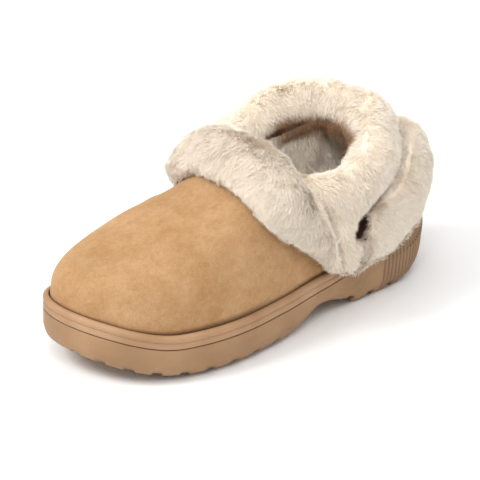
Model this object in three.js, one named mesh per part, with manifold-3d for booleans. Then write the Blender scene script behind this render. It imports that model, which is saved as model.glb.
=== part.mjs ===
// Left clog slipper: suede upper, deep fleece collar, cuff and heel strap, and a moulded two-part sole.
// Millimetres. X runs from the heel's back to the toe, Y to the outer side of the foot, Z up from the floor.

import * as THREE from "three";
import { mergeVertices } from "three/addons/utils/BufferGeometryUtils.js";
import Module from "manifold-3d";

const wasm = await Module();
wasm.setup();

// Sizes of the sole
const SOLE_LENGTH = 265;
const BALL_WIDTH = 107;
const HEEL_WIDTH = 76;
const TOE_SPRING = 14;
const ARCH_RISE = 10;
const HEEL_BEVEL = 8.5;
const HEEL_STACK = 42;
const BALL_STACK = 21.4;
const TOE_STACK = 34.5;
const SIDE_TUCK = 6.8;
const LEDGE_DROP = 10.8;
const LEDGE_DROP_MOST = 0.55;
const LEDGE_STEP = 1.2;
const RIB_PITCH = 3.2;
const RIB_DEPTH = 0.7;
const LUG_PITCH = 16.5;
const LUG_GAP = 6;
const LUG_DEPTH = 4;
const LUG_REACH = 13;

// Sizes of the rim, its tray and the footbed
const RIM_HEIGHT = 8.2;
const RIM_WALL = 2.2;
const RIM_ROUND = 2;
const GROOVE_DEPTH = 0.9;
const SEAT_STEP = 0.6;
const SEAT_DRAFT = 0.4;
const TRAY_RISE = 3;
const TRAY_THICKNESS = 3;
const HEEL_CUP_DEPTH = 9.5;
const INSOLE_THICKNESS = 5;
const INSOLE_EDGE = { straight: 3, slope: 2.5 };
const GAP = 0.3;
const SLIVER = 0.05;

// Sizes of the upper
const UPPER_WALL = 2.5;
const INSTEP_HEIGHT = 104;
const RIDGE_HEEL = 60;
const RIDGE_TOE_SETBACK = 30;
const COUNTER_HEIGHT = 90;
const SIDE_HEIGHT = 84;
const THROAT_FROM_HEEL = 132;
const TOPLINE_OUTER_DROP = 30;
const TOPLINE_INNER_RISE = 12;

// Sizes of the fleece
const COLLAR_ROLL = 16;
const CUFF_ROLL = 16;
const STRAP_ROLL = 14;
const STRAP_REACH = 6.5;
const ROLL_POINTS = 12;
const LOCK_WIDTH = 12;
const LOCK_OVERHANG = 2.5;
const LOCK_RISE = 1;
const LOCK_SINK = 0.5;
const LOCK_DEPTH = 4;
const LOCK_ROOM = 4.5;

// Plan outline of the sole: how far each side stands off the centre line, as a share of a named width
const OUTLINE = [
  { at: 0.03, of: HEEL_WIDTH, outer: 0.241, inner: 0.276 },
  { at: 0.11, of: HEEL_WIDTH, outer: 0.467, inner: 0.441 },
  { at: 0.25, of: HEEL_WIDTH, outer: 0.539, inner: 0.458 },
  { at: 0.39, of: BALL_WIDTH, outer: 0.409, inner: 0.336 },
  { at: 0.53, of: BALL_WIDTH, outer: 0.482, inner: 0.409 },
  { at: 0.67, of: BALL_WIDTH, outer: 0.527, inner: 0.471 },
  { at: 0.79, of: BALL_WIDTH, outer: 0.494, inner: 0.462 },
  { at: 0.89, of: BALL_WIDTH, outer: 0.389, inner: 0.398 },
  { at: 0.96, of: BALL_WIDTH, outer: 0.222, inner: 0.285 },
];
const HEEL_CENTRE_SIDE = -0.03 * HEEL_WIDTH;
const TOE_TIP_SIDE = -0.058 * BALL_WIDTH;

// Underside of the sole above the floor
const UNDERSIDE = [
  { at: 0, height: HEEL_BEVEL },
  { at: 0.06, height: 0.27 * HEEL_BEVEL },
  { at: 0.13, height: 0 },
  { at: 0.27, height: 0 },
  { at: 0.33, height: 0.62 * ARCH_RISE },
  { at: 0.4, height: ARCH_RISE },
  { at: 0.47, height: 0.3 * ARCH_RISE },
  { at: 0.53, height: 0 },
  { at: 0.74, height: 0 },
  { at: 0.82, height: 0.1 * TOE_SPRING },
  { at: 0.9, height: 0.38 * TOE_SPRING },
  { at: 1, height: TOE_SPRING },
];

// Groove between the lower body and the rim band
const GROOVE = [
  { at: 0, height: HEEL_STACK },
  { at: 0.2, height: 0.79 * HEEL_STACK },
  { at: 0.4, height: 1.04 * BALL_STACK },
  { at: 0.6, height: BALL_STACK },
  { at: 0.8, height: 1.02 * BALL_STACK },
  { at: 1, height: TOE_STACK },
];

// Side of the lower body below its step: how high, how far tucked in and how much of the step it shows
const LOWER_SIDE = [
  { height: 0, tuck: 1, proud: 0 },
  { height: 0.13, tuck: 0.58, proud: 0.3 },
  { height: 0.42, tuck: 0.19, proud: 0.8 },
  { height: 1, tuck: 0, proud: 1 },
];
// Side above its step, as shares of the stretch from the step to the groove
const UPPER_SIDE = [
  { height: 0.06, tuck: 0 },
  { height: 0.9, tuck: 0.03 },
];

// Side of the rim band above the groove, as shares of its height
const RIM_SIDE = [
  { rise: 0.15, inset: 0.3 },
  { rise: 0.7, inset: 0.5 },
  { rise: 0.92, inset: 1.1 },
  { rise: 1, inset: RIM_ROUND },
];

// Side step: proud below the line at the heel, undercut at its front end, as a share of LEDGE_STEP
const LEDGE = [
  { at: 0, step: 1 },
  { at: 0.1, step: 0.8 },
  { at: 0.15, step: 0.25 },
  { at: 0.19, step: 0 },
  { at: 0.24, step: -0.8 },
  { at: 0.29, step: -0.9 },
  { at: 0.335, step: 0 },
  { at: 1, step: 0 },
];

// Floor of the tray under the foot, below the level that it would have with the groove
const HEEL_CUP = [
  { at: 0, drop: HEEL_CUP_DEPTH },
  { at: 0.2, drop: 0.37 * HEEL_CUP_DEPTH },
  { at: 0.4, drop: 0 },
  { at: 1, drop: 0 },
];

// Ridge of the upper from heel to toe, and how full each section is between an ellipse (2) and a box
const RIDGE = [
  { at: 0, height: 1.08 * INSTEP_HEIGHT, fullness: 2.3 },
  { at: 0.2, height: 1.08 * INSTEP_HEIGHT, fullness: 2.5 },
  { at: 0.42, height: INSTEP_HEIGHT, fullness: 2.9 },
  { at: 0.52, height: 0.905 * INSTEP_HEIGHT, fullness: 3 },
  { at: 0.615, height: 0.81 * INSTEP_HEIGHT, fullness: 3 },
  { at: 0.77, height: 0.73 * INSTEP_HEIGHT, fullness: 3.1 },
  { at: 0.9, height: 0.66 * INSTEP_HEIGHT, fullness: 3.1 },
  { at: 0.97, height: 0.632 * INSTEP_HEIGHT, fullness: 3 },
  { at: 1, height: 0.63 * INSTEP_HEIGHT, fullness: 3 },
];
const RIDGE_SIDE = -0.02 * BALL_WIDTH;

const mix = THREE.MathUtils.lerp;

// A smooth curve through the rows of a table that never passes a row's value by itself
function through(rows, column) {
  const t = rows.map((row) => row.at);
  const v = rows.map((row) => row[column]);
  const rise = v.slice(1).map((value, i) => (value - v[i]) / (t[i + 1] - t[i]));
  const slope = v.map((value, i) => {
    if (i === 0 || i === v.length - 1) return rise[Math.min(i, rise.length - 1)];
    const before = rise[i - 1];
    const after = rise[i];
    return before * after <= 0 ? 0 : (2 * before * after) / (before + after);
  });
  return (share) => {
    const s = Math.min(Math.max(share, t[0]), t[t.length - 1]);
    let i = 0;
    while (i < t.length - 2 && s > t[i + 1]) i += 1;
    const span = t[i + 1] - t[i];
    const k = (s - t[i]) / span;
    const rest = 1 - k;
    const ends = v[i] * rest * rest * (1 + 2 * k) + v[i + 1] * k * k * (3 - 2 * k);
    return ends + span * k * rest * (slope[i] * rest - slope[i + 1] * k);
  };
}

const underside = through(UNDERSIDE, "height");
const grooveHeight = through(GROOVE, "height");
const ledgeStep = through(LEDGE, "step");
const cupDrop = through(HEEL_CUP, "drop");
const ridgeHeight = through(RIDGE, "height");
const fullness = through(RIDGE, "fullness");

function trayFloor(share) {
  return grooveHeight(share) + TRAY_RISE - cupDrop(share);
}

// The turn round the outline runs from the heel's back (0) by the outer side to the toe (half a turn)
function shareAt(turn) {
  return (1 - Math.cos(turn)) / 2;
}

function turnAt(share) {
  return Math.acos(1 - 2 * share);
}

const SIDE_KNOTS = [
  { turn: 0, side: HEEL_CENTRE_SIDE },
  ...OUTLINE.map((row) => ({ turn: turnAt(row.at), side: row.outer * row.of })),
  { turn: Math.PI, side: TOE_TIP_SIDE },
  ...[...OUTLINE].reverse().map((row) => ({ turn: 2 * Math.PI - turnAt(row.at), side: -row.inner * row.of })),
];

// Distance of the outline from the centre line, on a closed smooth curve through the knots
function outlineSide(turn) {
  const full = 2 * Math.PI;
  const t = ((turn % full) + full) % full;
  const count = SIDE_KNOTS.length;
  const knot = (i) => {
    const lap = Math.floor(i / count);
    const row = SIDE_KNOTS[i - lap * count];
    return { turn: row.turn + lap * full, side: row.side };
  };
  let i = 0;
  while (i < count - 1 && t >= SIDE_KNOTS[i + 1].turn) i += 1;
  const [a, b, c, d] = [knot(i - 1), knot(i), knot(i + 1), knot(i + 2)];
  const slope = (p, q, r) => {
    const before = (q.side - p.side) / (q.turn - p.turn);
    const after = (r.side - q.side) / (r.turn - q.turn);
    return (before * (r.turn - q.turn) + after * (q.turn - p.turn)) / (r.turn - p.turn);
  };
  const span = c.turn - b.turn;
  const k = (t - b.turn) / span;
  const rest = 1 - k;
  const ends = b.side * rest * rest * (1 + 2 * k) + c.side * k * k * (3 - 2 * k);
  return ends + span * k * rest * (slope(a, b, c) * rest - slope(b, c, d) * k);
}

// A point of the sole's outline, moved out along its normal
function edge(turn, out, height) {
  const step = 0.002;
  const at = (s) => new THREE.Vector2(SOLE_LENGTH * shareAt(s), outlineSide(s));
  const along = at(turn + step).sub(at(turn - step)).normalize();
  const p = at(turn);
  return new THREE.Vector3(p.x - along.y * out, p.y + along.x * out, height);
}

// Closed solid from points and triangles, with its faces turned out
function solidOf(points, faces) {
  const geometry = new THREE.BufferGeometry();
  const numbers = points.flatMap((p) => [p.x, p.y, p.z]);
  geometry.setAttribute("position", new THREE.Float32BufferAttribute(numbers, 3));
  geometry.setIndex(faces.flat());
  const merged = mergeVertices(geometry, 1e-3);
  const place = merged.attributes.position;
  const [a, b, c] = [new THREE.Vector3(), new THREE.Vector3(), new THREE.Vector3()];
  const kept = [];
  let volume = 0;
  for (let i = 0; i < merged.index.count; i += 3) {
    const face = [0, 1, 2].map((k) => merged.index.getX(i + k));
    if (new Set(face).size < 3) continue;
    a.fromBufferAttribute(place, face[0]);
    b.fromBufferAttribute(place, face[1]);
    c.fromBufferAttribute(place, face[2]);
    volume += a.dot(b.clone().cross(c));
    kept.push(face);
  }
  const turned = volume < 0 ? kept.map(([p, q, r]) => [p, r, q]) : kept;
  return new wasm.Manifold(
    new wasm.Mesh({ numProp: 3, vertProperties: place.array, triVerts: new Uint32Array(turned.flat()) }),
  );
}

// Loft through closed rings of one count; a ring that a lid closes is joined across from side to side
function loft(rings, { lidFirst = true, lidLast = true } = {}) {
  const n = rings[0].length;
  const faces = [];
  for (let r = 0; r + 1 < rings.length; r += 1) {
    for (let i = 0; i < n; i += 1) {
      const next = (i + 1) % n;
      const [a, b, c, d] = [r * n + i, r * n + next, (r + 1) * n + i, (r + 1) * n + next];
      faces.push([a, c, b], [b, c, d]);
    }
  }
  const lid = (r, up) => {
    for (let i = 0; i < n / 2; i += 1) {
      const [a, b] = [r * n + i, r * n + i + 1];
      const [c, d] = [r * n + ((n - i) % n), r * n + n - i - 1];
      faces.push(up ? [a, c, d] : [a, d, c], up ? [a, d, b] : [a, b, d]);
    }
  };
  if (lidFirst) lid(0, false);
  if (lidLast) lid(rings.length - 1, true);
  return solidOf(rings.flat(), faces);
}

// Tube through sections of one count, closed on itself or with a fan at each end
function sweep(sections, closed) {
  const n = sections[0].length;
  const points = sections.flat();
  const faces = [];
  const last = closed ? sections.length : sections.length - 1;
  for (let s = 0; s < last; s += 1) {
    const t = (s + 1) % sections.length;
    for (let i = 0; i < n; i += 1) {
      const next = (i + 1) % n;
      faces.push([s * n + i, s * n + next, t * n + i], [s * n + next, t * n + next, t * n + i]);
    }
  }
  if (!closed) {
    [0, sections.length - 1].forEach((s) => {
      const centre = sections[s].reduce((sum, p) => sum.add(p), new THREE.Vector3()).divideScalar(n);
      const hub = points.push(centre) - 1;
      for (let i = 0; i < n; i += 1) {
        const face = [s * n + i, s * n + ((i + 1) % n), hub];
        faces.push(s === 0 ? face.reverse() : face);
      }
    });
  }
  return solidOf(points, faces);
}

// Both sides of the outline at the same shares, from a list for the outer side that starts at the heel's back
function bothSides(turns) {
  return [...turns, ...turns.slice(1, -1).reverse().map((turn) => 2 * Math.PI - turn)];
}

// Turns for the outer side, spaced by lengths along the outline
function turnsAlong(spacing) {
  const turns = [0];
  const walk = 0.001;
  let length = 0;
  let before = edge(0, 0, 0);
  for (let turn = walk; turn < Math.PI; turn += walk) {
    const here = edge(turn, 0, 0);
    length += here.distanceTo(before);
    before = here;
    if (length >= spacing(shareAt(turn))) {
      turns.push(turn);
      length = 0;
    }
  }
  const room = Math.PI - turns[turns.length - 1];
  if (room < 0.03) turns.pop();
  return [...turns, Math.PI];
}

const RIB_START = 0.02;
const RIB_END = 0.22;
const COARSE_STEP = 12;

const ribbedTurns = bothSides(
  turnsAlong((share) => (share > RIB_START && share < RIB_END ? RIB_PITCH / 2 : COARSE_STEP)),
);
const plainTurns = bothSides(turnsAlong(() => COARSE_STEP));

// One ring of the sole: inset and height are functions of the share and the index of the point
function ring(turns, inset, height) {
  return turns.map((turn, i) => {
    const share = shareAt(turn);
    return edge(turn, -inset(share, i), height(share));
  });
}

// Height of the side line below the groove, which keeps to its share of a low side
function ledgeHeight(share) {
  const side = grooveHeight(share) - underside(share);
  return grooveHeight(share) - Math.min(LEDGE_DROP, LEDGE_DROP_MOST * side);
}

function ribAt(share, i) {
  const ribbed = share > RIB_START && share < RIB_END;
  return ribbed && i % 2 === 1 ? RIB_DEPTH : 0;
}

// The rim's tray sits in a bed of the lower body, one draft further in at its foot
const SEAT_INSET = GROOVE_DEPTH + SEAT_STEP;

function bedHeight(share) {
  return trayFloor(share) - TRAY_THICKNESS;
}

function makeOutsole() {
  const turns = ribbedTurns;
  const half = GAP / 2;
  const rings = LOWER_SIDE.map((row) =>
    ring(
      turns,
      (share, i) => {
        const ribs = row.height > 0 ? ribAt(share, i) : 0;
        return row.tuck * SIDE_TUCK + ribs - row.proud * ledgeStep(share) * LEDGE_STEP;
      },
      (share) => mix(underside(share), ledgeHeight(share), row.height),
    ),
  );
  UPPER_SIDE.forEach((row) => {
    rings.push(
      ring(
        turns,
        (share, i) => row.tuck * SIDE_TUCK + ribAt(share, i),
        (share) => mix(ledgeHeight(share), grooveHeight(share) - half, row.height),
      ),
    );
  });
  rings.push(ring(turns, () => GROOVE_DEPTH, (share) => grooveHeight(share) - half));
  rings.push(ring(turns, () => SEAT_INSET, (share) => grooveHeight(share) - half));
  rings.push(ring(turns, () => SEAT_INSET + SEAT_DRAFT, (share) => bedHeight(share) - half));
  return loft(rings).subtract(lugNotches(bothSides(turnsAlong(() => LUG_PITCH))));
}

// Notches between the lugs, along both sides of the forefoot and round the heel
const LUG_RUNS = [
  { from: 0.004, to: 0.3 },
  { from: 0.5, to: 0.997 },
];
const LUG_TAPER = 0.6;
const LUG_FADE = 0.4;

function lugNotches(turns) {
  let cut = null;
  turns.forEach((turn) => {
    const share = shareAt(turn);
    if (!LUG_RUNS.some((run) => share > run.from && share < run.to)) return;
    const foot = edge(turn, 0, underside(share));
    const out = edge(turn, 1, 0).sub(edge(turn, 0, 0));
    const along = new THREE.Vector3(-out.y, out.x, 0);
    const corner = (reach, side, rise) =>
      foot.clone().addScaledVector(out, reach).addScaledVector(along, side).setZ(foot.z + rise);
    const section = (reach, size) => {
      const half = (LUG_GAP / 2) * size;
      return [
        corner(reach, -half, -LUG_DEPTH),
        corner(reach, half, -LUG_DEPTH),
        corner(reach, half * LUG_TAPER, LUG_DEPTH * size),
        corner(reach, -half * LUG_TAPER, LUG_DEPTH * size),
      ];
    };
    const notch = sweep([section(SIDE_TUCK, 1), section(-LUG_REACH, LUG_FADE)], false);
    cut = cut ? cut.add(notch) : notch;
  });
  return cut;
}

function makeMidsole() {
  const turns = plainTurns;
  const half = GAP / 2;
  const above = (rise) => (share) => grooveHeight(share) + rise;
  const rows = [
    ring(turns, () => SEAT_INSET + SEAT_DRAFT + GAP, (share) => bedHeight(share) + half),
    ring(turns, () => SEAT_INSET + GAP, above(half)),
    ring(turns, () => GROOVE_DEPTH, above(half)),
    ...RIM_SIDE.map((row) => ring(turns, () => row.inset, above(row.rise * RIM_HEIGHT))),
    ring(turns, () => RIM_ROUND + RIM_WALL, above(RIM_HEIGHT)),
    ring(turns, () => RIM_ROUND + RIM_WALL, trayFloor),
  ];
  return loft(rows);
}

const UPPER_INSET = RIM_ROUND + RIM_WALL + GAP;
const INSOLE_INSET = UPPER_INSET + UPPER_WALL + GAP;

function makeInsole() {
  const turns = plainTurns;
  const rows = [
    ring(turns, () => INSOLE_INSET, (share) => trayFloor(share) + GAP),
    ring(turns, () => INSOLE_INSET, (share) => trayFloor(share) + GAP + INSOLE_EDGE.straight),
    ring(turns, () => INSOLE_INSET + INSOLE_EDGE.slope, (share) => trayFloor(share) + GAP + INSOLE_THICKNESS),
  ];
  return loft(rows);
}

// Surface of the upper: rise runs from the tray (0) to the ridge (1), out moves it along its wall's thickness
function upperPoint(turn, rise, out) {
  const share = shareAt(turn);
  const base = edge(turn, out - UPPER_INSET, trayFloor(share) + GAP);
  const ridge = new THREE.Vector3(
    mix(RIDGE_HEEL, SOLE_LENGTH - RIDGE_TOE_SETBACK, share),
    RIDGE_SIDE,
    ridgeHeight(share) + out,
  );
  const bend = (rise * Math.PI) / 2;
  const power = 2 / fullness(share);
  const inward = 1 - Math.pow(Math.max(0, Math.cos(bend)), power);
  const up = Math.pow(Math.sin(bend), power);
  return new THREE.Vector3(
    mix(base.x, ridge.x, inward),
    mix(base.y, ridge.y, inward),
    mix(base.z, ridge.z, up),
  );
}

function upperNormal(turn, rise) {
  const step = 0.01;
  const along = upperPoint(turn + step, rise, 0).sub(upperPoint(turn - step, rise, 0));
  const top = Math.min(rise + step, 0.995);
  const climb = upperPoint(turn, top, 0).sub(upperPoint(turn, top - 2 * step, 0));
  return climb.cross(along).normalize();
}

const RISES = [0, 0.12, 0.27, 0.43, 0.58, 0.71, 0.82, 0.91, 0.97, 1];

function dome(out) {
  return RISES.map((rise) => plainTurns.map((turn) => upperPoint(turn, rise, out)));
}

// Foot of the dome carried straight down
function skirt(out, drop) {
  return ring(plainTurns, () => UPPER_INSET - out, (share) => trayFloor(share) + GAP - drop);
}

// All that the upper encloses with room round it, for cutting what lies on it
function upperFilled(room) {
  return loft([skirt(room, HEEL_STACK), ...dome(room)], { lidLast: false });
}

// The upper's wall, with room round it when it cuts a neighbour
function upperShell(room) {
  const inner = dome(-UPPER_WALL - room).reverse();
  const feet = room > 0 ? [skirt(-UPPER_WALL - room, 2 * room), skirt(room, 2 * room)] : [];
  return loft([...inner, ...feet, ...dome(room)], { lidFirst: false, lidLast: false });
}

// Topline of the upper seen from the side
const TOPLINE = [
  { at: 0, height: COUNTER_HEIGHT },
  { at: 0.25, height: 0.97 * COUNTER_HEIGHT },
  { at: 0.55, height: 1.04 * SIDE_HEIGHT },
  { at: 0.75, height: SIDE_HEIGHT },
  { at: 0.9, height: 1.08 * SIDE_HEIGHT },
  { at: 1, height: 1.24 * SIDE_HEIGHT },
];
const topline = through(TOPLINE, "height");
const TOPLINE_STEPS = 16;

// Prism that opens the collar: all that lies above the topline, back from the throat
function collarCutter(clearance) {
  const high = 2 * INSTEP_HEIGHT;
  const wide = BALL_WIDTH;
  const outline = [];
  for (let i = 0; i <= TOPLINE_STEPS; i += 1) {
    const share = i / TOPLINE_STEPS;
    outline.push([share * (THROAT_FROM_HEEL + clearance), topline(share) - clearance]);
  }
  outline.push([THROAT_FROM_HEEL + clearance, high]);
  outline.push([-SOLE_LENGTH, high], [-SOLE_LENGTH, topline(0) - clearance]);
  const tilt = (side) => (-(side > 0 ? TOPLINE_OUTER_DROP : TOPLINE_INNER_RISE) * side) / (BALL_WIDTH / 2);
  const section = (side) => outline.map(([x, z]) => new THREE.Vector3(x, side, z + tilt(side)));
  const shape = new THREE.Shape(outline.map(([x, z]) => new THREE.Vector2(x, z)));
  const lid = THREE.ShapeUtils.triangulateShape(shape.getPoints(), []);
  const n = outline.length;
  const far = 2 * n;
  const faces = [...lid, ...lid.map(([a, b, c]) => [far + a, far + c, far + b])];
  for (let i = 0; i < far; i += 1) {
    const next = (i + 1) % n === 0 ? i + 1 - n : i + 1;
    faces.push([i, n + i, next], [next, n + i, n + next]);
  }
  return solidOf([...section(-wide), ...section(0), ...section(wide)], faces);
}

function makeUpper() {
  return upperShell(0).subtract(collarCutter(0));
}

// Sole's outer form with room round it, for cutting the fleece that hangs over the rim
function soleFilled(clearance) {
  const rows = RIM_SIDE.map((row) =>
    ring(
      plainTurns,
      () => row.inset - 2 * clearance,
      (share) => grooveHeight(share) + row.rise * RIM_HEIGHT + clearance,
    ),
  );
  const lid = ring(
    plainTurns,
    () => RIM_ROUND + RIM_WALL + 2 * clearance,
    (share) => grooveHeight(share) + RIM_HEIGHT + clearance,
  );
  return loft([ring(plainTurns, () => -2 * clearance, () => -1), ...rows, lid]);
}

// Section of a fleece roll: an ellipse with the axes out and side round a centre
function roll(centre, out, side, thick, wide, grow) {
  const points = [];
  for (let i = 0; i < ROLL_POINTS; i += 1) {
    const angle = (2 * Math.PI * i) / ROLL_POINTS;
    const p = centre.clone();
    p.addScaledVector(out, Math.cos(angle) * (thick + grow));
    p.addScaledVector(side, Math.sin(angle) * (wide + grow));
    points.push(p);
  }
  return points;
}

// Locks of fleece: flat tufts fused on every second section of a roll, each combed from a point past the next
function locks(sections, { from, to }) {
  const tufts = [];
  for (let s = 1; s + 1 < sections.length; s += 2) {
    const section = sections[s];
    const centre = section.reduce((sum, p) => sum.add(p), new THREE.Vector3()).divideScalar(section.length);
    for (let i = from + (((s - 1) / 2) % 2); i <= to; i += 2) {
      const root = section[i % ROLL_POINTS];
      const tip = section[(i - 1) % ROLL_POINTS];
      const down = tip.clone().sub(root).normalize();
      const across = root.clone().sub(centre).cross(down).normalize();
      const corner = (p, along, side, rise) => {
        const out = p.clone().sub(centre).normalize();
        return p.clone().addScaledVector(down, along).addScaledVector(across, side).addScaledVector(out, rise);
      };
      const points = [
        corner(root, 0, -LOCK_WIDTH / 2, -LOCK_SINK),
        corner(root, 0, LOCK_WIDTH / 2, -LOCK_SINK),
        corner(tip, LOCK_OVERHANG, 0, LOCK_RISE),
        corner(tip, 0, 0, -LOCK_DEPTH),
      ];
      tufts.push(solidOf(points, [[0, 2, 1], [0, 1, 3], [1, 2, 3], [2, 0, 3]]));
    }
  }
  return tufts;
}

// The one body that a piece is made of, without the crumbs and slivers that a cut leaves
function largest(solid) {
  const bodies = solid.decompose();
  const most = bodies.reduce((best, body) => (body.volume() > best.volume() ? body : best));
  return most.asOriginal().simplify(SLIVER);
}

// Cuff: its middle line on the upper from the rim (0) to the ridge (1), thick and wide in CUFF_ROLL
const CUFF = [
  { at: 0, share: 0.378, rise: 0.03, thick: 0.5, wide: 0.17 },
  { at: 0.2, share: 0.408, rise: 0.12, thick: 0.75, wide: 0.45 },
  { at: 0.45, share: 0.464, rise: 0.33, thick: 0.938, wide: 0.97 },
  { at: 0.7, share: 0.496, rise: 0.6, thick: 1, wide: 1.219 },
  { at: 1, share: 0.476, rise: 1, thick: 0.938, wide: 1.125 },
];
const CUFF_LIFT = 5;
const CUFF_INNER_FORWARD = 0.03;
const CUFF_STEPS = 22;
const cuffShare = through(CUFF, "share");
const cuffRise = through(CUFF, "rise");
const cuffThick = through(CUFF, "thick");
const cuffWide = through(CUFF, "wide");

function cuffPoint(t) {
  const rim = 1 - Math.abs(2 * t - 1);
  const forward = t > 0.5 ? CUFF_INNER_FORWARD * Math.sin(Math.PI * rim) : 0;
  const turn = turnAt(cuffShare(rim) + forward);
  const side = t <= 0.5 ? turn : 2 * Math.PI - turn;
  const rise = cuffRise(rim);
  return { place: upperPoint(side, rise, CUFF_LIFT), out: upperNormal(side, rise), rim };
}

function cuffSections(grow) {
  const sections = [];
  for (let i = 0; i <= CUFF_STEPS; i += 1) {
    const t = i / CUFF_STEPS;
    const here = cuffPoint(t);
    const along = cuffPoint(Math.min(t + 0.01, 1)).place.sub(cuffPoint(Math.max(t - 0.01, 0)).place);
    const side = along.cross(here.out).normalize();
    const [thick, wide] = [cuffThick(here.rim) * CUFF_ROLL, cuffWide(here.rim) * CUFF_ROLL];
    sections.push(roll(here.place, here.out, side, thick, wide, grow));
  }
  return sections;
}

// Collar: one lap from the rear hump by the outer side (0.25), the front hump (0.5) and the inner side (0.75),
// with back in sole lengths, side in ball widths, height in its named size, thick and tall in COLLAR_ROLL
const COLLAR = [
  { at: 0, back: 0.14, side: 0, of: COUNTER_HEIGHT, height: 1.089, thick: 1.094, tall: 1.469, lean: 0.5 },
  { at: 0.06, back: 0.166, side: 0.131, of: COUNTER_HEIGHT, height: 1.04, thick: 0.97, tall: 1.44, lean: 0.4 },
  { at: 0.12, back: 0.204, side: 0.252, of: COUNTER_HEIGHT, height: 1, thick: 0.844, tall: 1.312, lean: 0.2 },
  { at: 0.25, back: 0.325, side: 0.355, of: SIDE_HEIGHT, height: 0.917, thick: 0.844, tall: 1.062, lean: 0.05 },
  { at: 0.38, back: 0.423, side: 0.336, of: SIDE_HEIGHT, height: 0.964, thick: 0.812, tall: 0.938, lean: 0 },
  { at: 0.5, back: 0.513, side: -0.019, of: INSTEP_HEIGHT, height: 0.885, thick: 0.75, tall: 0.75, lean: 0 },
  { at: 0.62, back: 0.426, side: -0.336, of: SIDE_HEIGHT, height: 1.131, thick: 0.875, tall: 0.875, lean: 0 },
  { at: 0.75, back: 0.321, side: -0.364, of: SIDE_HEIGHT, height: 1.202, thick: 1, tall: 0.938, lean: -0.1 },
  { at: 0.88, back: 0.204, side: -0.262, of: COUNTER_HEIGHT, height: 1.144, thick: 0.94, tall: 1.22, lean: 0.3 },
  { at: 0.94, back: 0.162, side: -0.131, of: COUNTER_HEIGHT, height: 1.1, thick: 1, tall: 1.375, lean: 0.5 },
  { at: 1, back: 0.14, side: 0, of: COUNTER_HEIGHT, height: 1.089, thick: 1.094, tall: 1.469, lean: 0.5 },
];
const COLLAR_STEPS = 30;
const collarRows = COLLAR.map((row) => ({ ...row, height: row.height * row.of }));
const collar = Object.fromEntries(
  ["back", "side", "height", "thick", "tall", "lean"].map((column) => [column, through(collarRows, column)]),
);

function collarSections(grow) {
  const sections = [];
  const centre = (t) =>
    new THREE.Vector3(collar.back(t) * SOLE_LENGTH, collar.side(t) * BALL_WIDTH, collar.height(t));
  for (let i = 0; i < COLLAR_STEPS; i += 1) {
    const t = i / COLLAR_STEPS;
    const along = centre((t + 0.01) % 1).sub(centre((t + 0.99) % 1));
    const out = new THREE.Vector3(-along.y, along.x, 0).normalize();
    const up = new THREE.Vector3(0, 0, 1).addScaledVector(out, -collar.lean(t)).normalize();
    const level = out.clone().addScaledVector(up, -out.dot(up)).normalize();
    const [thick, tall] = [collar.thick(t) * COLLAR_ROLL, collar.tall(t) * COLLAR_ROLL];
    sections.push(roll(centre(t), level, up, thick, tall, grow));
  }
  return sections;
}

// Ellipsoid with its own axes: along, out and up
function ellipsoid(centre, along, out, half) {
  const up = along.clone().cross(out).normalize();
  const geometry = new THREE.SphereGeometry(1, 12, 8);
  geometry.rotateX(Math.PI / 2);
  geometry.scale(half.x, half.y, half.z);
  geometry.applyMatrix4(new THREE.Matrix4().makeBasis(along, out, up).setPosition(centre));
  const place = geometry.attributes.position;
  const points = [];
  for (let i = 0; i < place.count; i += 1) points.push(new THREE.Vector3().fromBufferAttribute(place, i));
  const faces = [];
  for (let i = 0; i < geometry.index.count; i += 3) {
    faces.push([0, 1, 2].map((k) => geometry.index.getX(i + k)));
  }
  return solidOf(points, faces);
}

// Side lobes of the collar, hanging over the rim in front of the slit and leaning forward at the top
const LOBE = { bottom: 24, reach: 9, lean: 0.2 };
const LOBES = [
  { side: 1, fromHeel: 91, halfLength: 17, top: 76 },
  { side: -1, fromHeel: 98, halfLength: 25, top: 98 },
];

function lobes(grow) {
  return LOBES.map((row) => {
    const turn = turnAt(row.fromHeel / SOLE_LENGTH);
    const centre = edge(row.side > 0 ? turn : 2 * Math.PI - turn, 0, (LOBE.bottom + row.top) / 2);
    const half = new THREE.Vector3(row.halfLength, LOBE.reach, (row.top - LOBE.bottom) / 2).addScalar(grow);
    const along = new THREE.Vector3(1, 0, -LOBE.lean).normalize();
    return ellipsoid(centre, along, new THREE.Vector3(0, 1, 0), half);
  });
}

// Hollow at the slit's front end, between collar and strap: it falls forward along the slit and opens out,
// forward by its lead and upward by its tilt
const SLIT_END = {
  fromHeel: 78,
  height: 57,
  reach: 4,
  halfLength: 9,
  halfWidth: 5,
  depth: 20,
  fall: 1.8,
  lead: 0.6,
  tilt: 0.55,
};

function slitEnd(side) {
  const turn = turnAt(SLIT_END.fromHeel / SOLE_LENGTH);
  const at = side > 0 ? turn : 2 * Math.PI - turn;
  const centre = edge(at, SLIT_END.reach, SLIT_END.height);
  const level = edge(at, 1, 0).sub(edge(at, 0, 0));
  const forward = new THREE.Vector3(Math.abs(level.y), -Math.sign(level.y) * level.x, 0);
  const out = level.addScaledVector(forward, SLIT_END.lead).setZ(SLIT_END.tilt).normalize();
  const up = new THREE.Vector3(0, 0, 1).addScaledVector(out, -out.z).normalize();
  const along = out.clone().cross(up).multiplyScalar(side).addScaledVector(up, -SLIT_END.fall).normalize();
  const half = new THREE.Vector3(SLIT_END.halfLength, SLIT_END.depth, SLIT_END.halfWidth);
  return ellipsoid(centre, along, out, half);
}

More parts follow.
